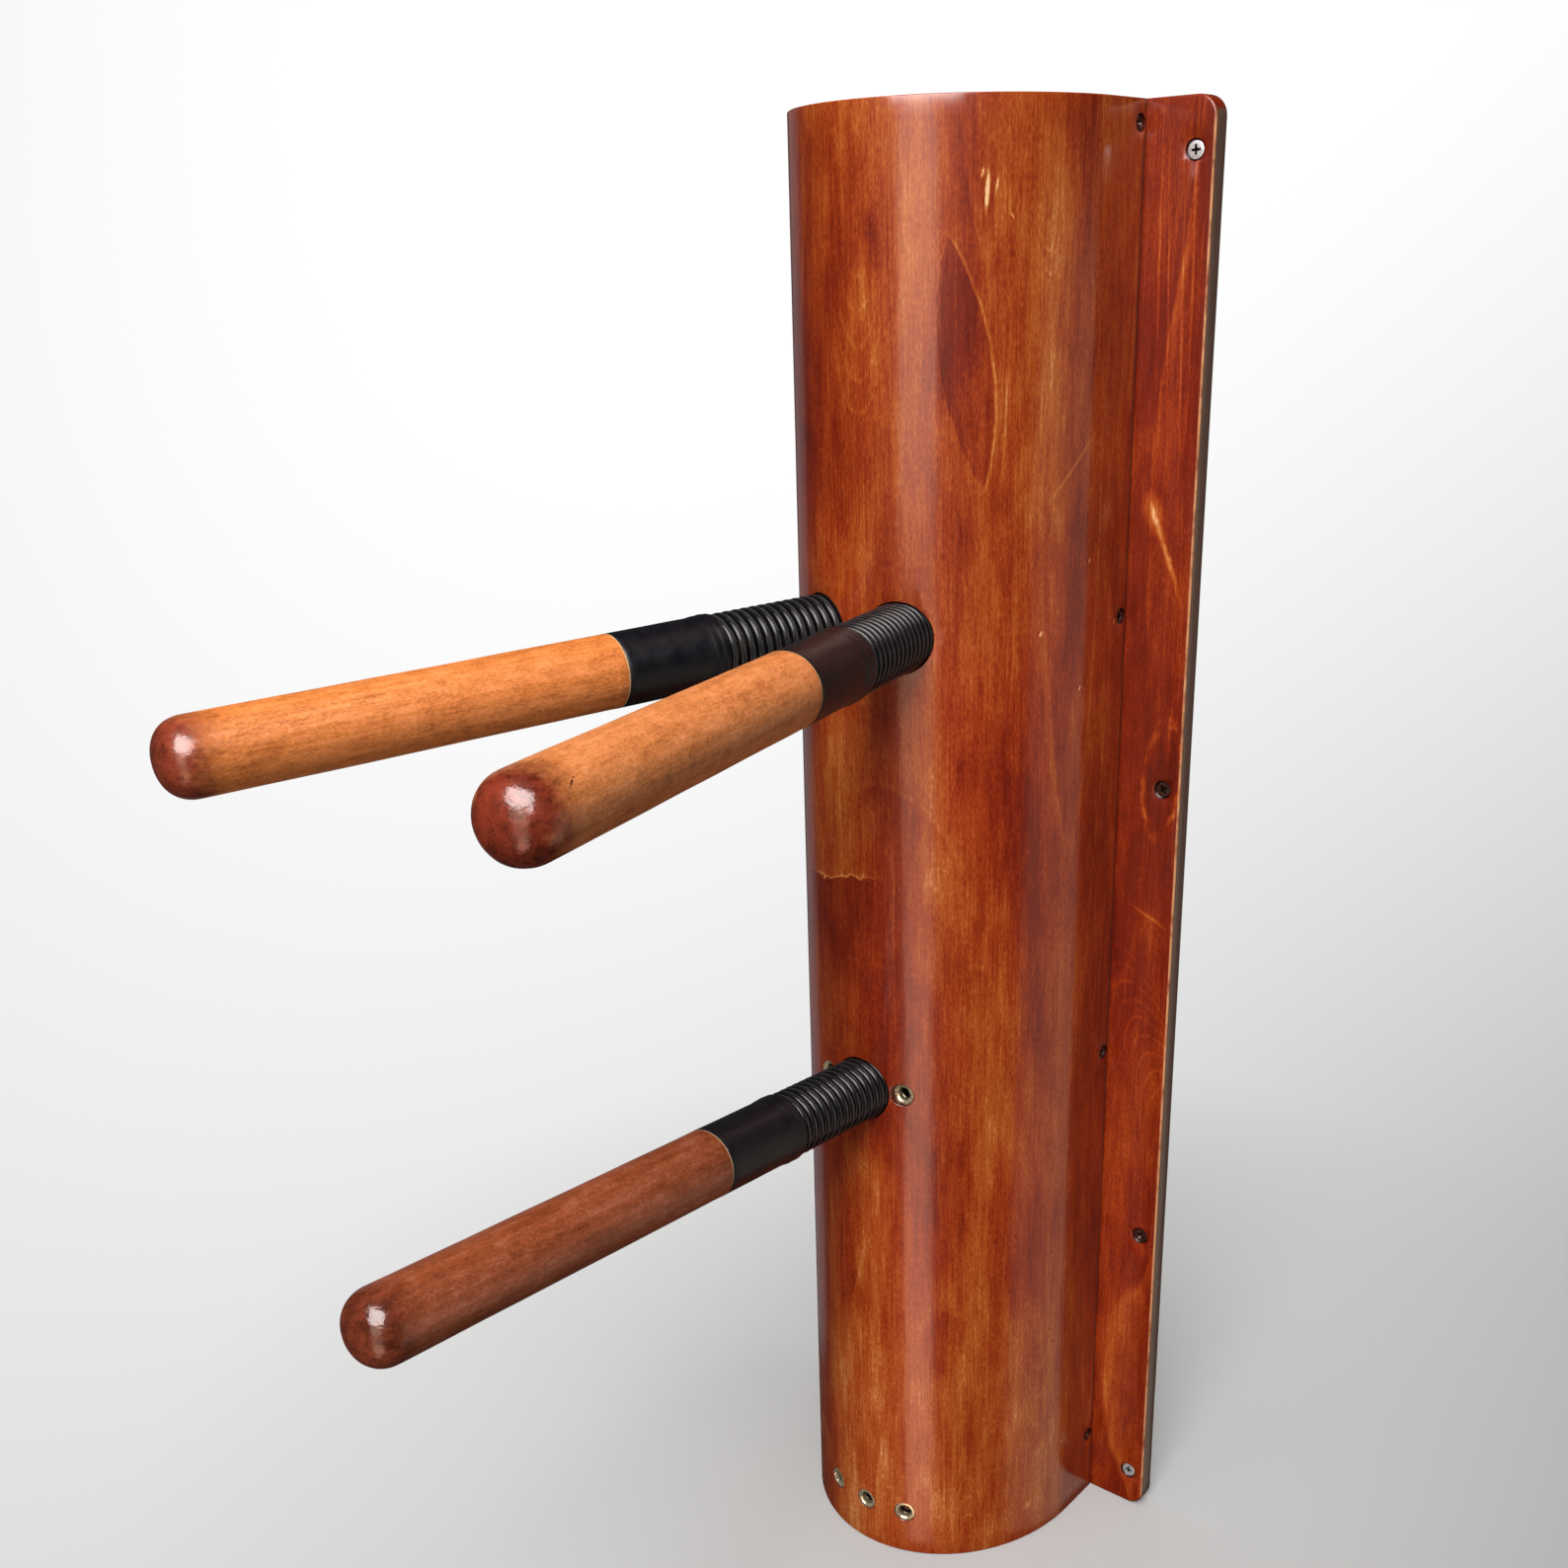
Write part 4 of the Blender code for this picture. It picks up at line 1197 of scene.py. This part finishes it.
def make_sleeve(name, place, look):
    """A shrunk sleeve: smooth over the wood, with the spring's last turns showing at its inner end."""
    wide = SPRING_RADIUS + BORE_CLEARANCE
    narrow = NECK_RADIUS + GAP
    step = SPRING_END + GAP + 0.002
    step_end = step + 0.004  # where the outside has eased down from the spring's size to the wood's
    rib_start = SLEEVE_START + 0.0004
    outside = wide + SLEEVE_WALL
    profile = [(wide, SLEEVE_START), (wide + SLEEVE_WALL * 0.6, SLEEVE_START), (outside, rib_start)]
    rows, body_rows = 36, 23
    for k in range(1, rows + 1):
        along = rib_start + (step_end - rib_start) * k / rows
        ease = min(1.0, max(0.0, (along - SPRING_END + 0.002) / (step_end - SPRING_END + 0.002)))
        ease = ease * ease * (3 - 2 * ease)
        profile.append((outside + (ARM_RADIUS - outside) * ease, along))
    for k in range(1, body_rows + 1):
        profile.append((ARM_RADIUS, step_end + (SLEEVE_END - 0.0005 - step_end) * k / body_rows))
    profile += [(ARM_RADIUS - 0.0003, SLEEVE_END), (narrow, SLEEVE_END), (narrow, step)]
    profile.append((wide, SPRING_END + GAP))
    first = SPRING_START + WIRE_RADIUS

    def ribs(angle, along, radius):
        if radius < ARM_RADIUS - 0.0001 or along < SLEEVE_START + 0.0003:
            return 0.0
        crest = math.cos(2 * math.pi * ((along - first) / SPRING_PITCH - angle / (2 * math.pi)))
        fade = min(1.0, max(0.0, (SPRING_END - along) / 0.006 + 0.6))
        swell = 0.00008 * noise.noise((3 * math.cos(angle), 3 * math.sin(angle), along * 60))
        return 0.00022 * (crest - 1) * fade + swell

    sleeve = spun(name + "_sleeve_shrunk", profile, look, place, 96, closed=True, push=ribs)
    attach(sleeve, name + "_arm")
    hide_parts(name + "_sleeve")


def dress_inner_pieces(looks):
    """The pieces inside the trunk keep their shapes and get their real finish."""
    for node, obj in frame["nodes"].items():
        if node.endswith(("_rail_left", "_rail_right", "_arm_block", "_root_plug")):
            look, slot = looks["bare"], "inner_wood"
        elif node.endswith(("_washer", "_root_bolt")):
            look, slot = looks["zinc"], "zinc_steel"
        else:
            continue
        for material_slot in obj.material_slots:
            material_slot.material = look


# ---------------------------------------------------------------- stage


def make_floor():
    """A pale floor that fades into the backdrop far from the object."""
    bm = bmesh.new()
    bmesh.ops.create_grid(bm, x_segments=2, y_segments=2, size=12.0)
    floor = in_scene("floor", as_mesh("floor", bm))
    floor.location.z = FOOT - 0.0002
    look = Look("floor_pale")
    far = look.reach(look.object_place())
    look.set(Base_Color=(0.50, 0.50, 0.505), Roughness=0.95, IOR=1.0)
    look.set(Alpha=look.span(far, 0.08, 0.70, 0.9, 0.0))
    floor.data.materials.append(look.material)
    floor.visible_glossy = False
    floor.visible_diffuse = False


def make_world():
    """A white backdrop that darkens downwards and to the right, a soft fill and a dim room in reflections."""
    world = bpy.data.worlds.new("studio")
    bpy.context.scene.world = world
    world.use_nodes = True
    nodes = Nodes(world.node_tree)

    def background(strength, colour):
        return nodes.add("ShaderNodeBackground", "Background", Color=colour, Strength=strength)

    def choose(ray, otherwise, chosen):
        factor = nodes.add("ShaderNodeLightPath", ray)
        return nodes.ordered("ShaderNodeMixShader", "Shader", factor, otherwise, chosen)

    direction = nodes.add("ShaderNodeTexCoord", "Generated")
    x, y, z = (nodes.part(direction, axis) for axis in "XYZ")
    across = nodes.total(nodes.times(x, math.cos(CAMERA_AZIMUTH)), nodes.times(y, math.sin(CAMERA_AZIMUTH)))
    downward = nodes.times(z, -1.0)
    lean = nodes.times(across, BACKDROP_LEAN)
    slope = nodes.total(lean, BACKDROP_FALL, nodes.times(downward, BACKDROP_DEPTH))
    fall = nodes.times(slope, nodes.math("MAXIMUM", downward, -0.1))
    fall = nodes.total(fall, nodes.times(nodes.times(across, across), BACKDROP_SIDE))
    shown = nodes.math("SUBTRACT", BACKDROP_WHITE, nodes.math("MAXIMUM", fall, 0.0))
    shown = nodes.math("MAXIMUM", shown, BACKDROP_DARKEST)
    fill = nodes.total(nodes.times(z, FILL_TILT), FILL_MIDDLE)
    room = background(ROOM_GLOSS, (0.95, 0.96, 1.0))
    lit = choose("Is Glossy Ray", background(fill, (1.0, 0.98, 0.96)), room)
    lit = choose("Is Camera Ray", lit, background(shown, (1.0, 1.0, 1.0)))
    nodes.feed(nodes.tree.nodes["World Output"].inputs["Surface"], lit)


def toward(azimuth, elevation):
    """A direction out from the object; azimuth is from -Y towards +X."""
    a, e = math.radians(azimuth), math.radians(elevation)
    return Vector((math.sin(a) * math.cos(e), -math.cos(a) * math.cos(e), math.sin(e)))


def soft_box(name, azimuth, elevation, distance, size, radiance, colour, seen_by, lift=0.0):
    """A rectangular light facing the trunk: matt light casts no reflection, gloss light is only one."""
    lamp = bpy.data.lights.new(name, "AREA")
    lamp.shape = "RECTANGLE"
    lamp.size, lamp.size_y = size
    lamp.energy = math.pi * size[0] * size[1] * radiance
    lamp.color = colour
    obj = in_scene(name, lamp)
    obj.location = TRUNK_MIDDLE + toward(azimuth, elevation) * distance + Vector((0, 0, lift))
    obj.rotation_euler = (-toward(azimuth, elevation)).to_track_quat("-Z", "Y").to_euler()
    obj.visible_camera = False
    obj.visible_diffuse = seen_by == "matt"
    obj.visible_glossy = seen_by == "gloss"


def make_lights():
    daylight = (1.0, 0.98, 0.95)
    soft_box("key", 24, 44, 5.0, (2.2, 2.2), 17.0, daylight, "matt")
    soft_box("top", 0, 88, 4.0, (2.0, 2.0), 6.5, daylight, "matt")
    soft_box("low", 20, -35, 4.0, (1.6, 1.6), 3.3, daylight, "matt")
    soft_box("window", 24, 44, 2.6, (2.2, 1.9), 15.0, (1.0, 0.97, 0.95), "gloss")
    soft_box("glint", 20, 0, 2.3, (0.70, 0.40), 5.0, (1.0, 0.84, 0.70), "gloss", 0.95)
    soft_box("strip_high", 20, 0, 2.3, (1.10, 0.90), 3.3, (1.0, 0.80, 0.62), "gloss", 0.45)
    soft_box("strip_middle", 20, 0, 2.3, (1.10, 0.90), 1.7, (1.0, 0.76, 0.58), "gloss", -0.45)
    soft_box("strip_low", 20, 0, 2.3, (1.00, 1.50), 3.4, (1.0, 0.62, 0.46), "gloss", -1.65)
    soft_box("side", 122, -20, 2.4, (2.2, 2.8), 0.50, (1.0, 0.88, 0.72), "gloss")
    soft_box("rim", -112, -10, 3.0, (1.4, 3.4), 0.22, (1.0, 0.88, 0.92), "gloss")


def make_camera():
    roll = CAMERA_ROLL
    back = toward(math.degrees(CAMERA_AZIMUTH), math.degrees(CAMERA_ELEVATION))
    level_right = (-back).cross(Vector((0, 0, 1))).normalized()
    level_up = level_right.cross(-back)
    right = level_right * math.cos(roll) + level_up * math.sin(roll)
    up = level_up * math.cos(roll) - level_right * math.sin(roll)
    lens = bpy.data.cameras.new("camera")
    lens.lens = CAMERA_LENS
    lens.sensor_width = 36.0
    lens.shift_y = CAMERA_SHIFT
    lens.clip_start = 0.05
    lens.clip_end = 60.0
    camera = in_scene("camera", lens)
    turn = Matrix((right, up, back)).transposed().to_4x4()
    camera.matrix_world = Matrix.Translation(CAMERA_TARGET + back * CAMERA_DISTANCE) @ turn
    bpy.context.scene.camera = camera


# ---------------------------------------------------------------- the object


def main():
    bpy.context.scene.view_settings.view_transform = "Standard"
    looks = {
        "trunk": panel_wood("trunk_wood", 1.7, 0.485, 1.3, 0.9, trunk_marks, 0.9),
        "board": panel_wood("board_wood", 6.1, 0.35, 1.2, 1.5, board_marks, 0.6),
        "bare": bare_wood("bare_wood", (0.50, 0.33, 0.17), (0.62, 0.44, 0.26)),
        "stained_end": bare_wood("stained_end_wood", (0.17, 0.030, 0.008), (0.26, 0.055, 0.014)),
        "spring": spring_paint(),
        "zinc": metal("zinc_plate", (0.52, 0.52, 0.54), (0.76, 0.76, 0.78), 0.34, 0.55, 0.0007),
        "dark": metal("varnished_steel", (0.045, 0.018, 0.012), (0.10, 0.045, 0.03), 0.22, 0.6, 0.0007),
        "brass": metal("brass", (0.58, 0.47, 0.27), (0.84, 0.74, 0.53), 0.26, 0.7, 0.0055),
    }
    arm_tints = {
        "upper_left": ((0.66, 0.196, 0.037), (0.22, 0.038, 0.017)),
        "upper_right": ((0.60, 0.195, 0.050), (0.19, 0.027, 0.011)),
        "lower": ((0.245, 0.052, 0.012), (0.17, 0.033, 0.014)),
    }
    sleeve_tints = {
        "upper_left": (0.003, 0.003, 0.006),
        "upper_right": (0.010, 0.006, 0.0065),
        "lower": (0.005, 0.005, 0.008),
    }
    arms = arm_frames()
    screws = screw_places()
    inserts = insert_places()
    make_trunk(looks, arms, screws, inserts)
    make_board(looks, screws)
    make_block("top_former", "top_cap", looks["stained_end"])
    make_block("foot_block", "foot_cap", looks["stained_end"])
    for k, (name, place, radius, length) in enumerate(screws):
        bright = "flange" in name and name.endswith(("_1", "_4"))
        look, slot = (looks["zinc"], "zinc_steel") if bright else (looks["dark"], "varnished_screw")
        make_screw(name, place, radius, length, 0.7 + 1.3 * k, look)
    for name, place in inserts:
        make_insert(name, place, looks["brass"])
    for name, place in arms.items():
        make_spring(name, place, looks["spring"])
        scar = crack if name == "upper_right" else None
        make_handle(name, place, arm_wood(name + "_arm_wood", 3.1 * len(name), *arm_tints[name], scar))
        make_sleeve(name, place, sleeve_rubber(name + "_sleeve_black", sleeve_tints[name]))
    dress_inner_pieces(looks)
    make_floor()
    make_world()
    make_lights()
    make_camera()


main()
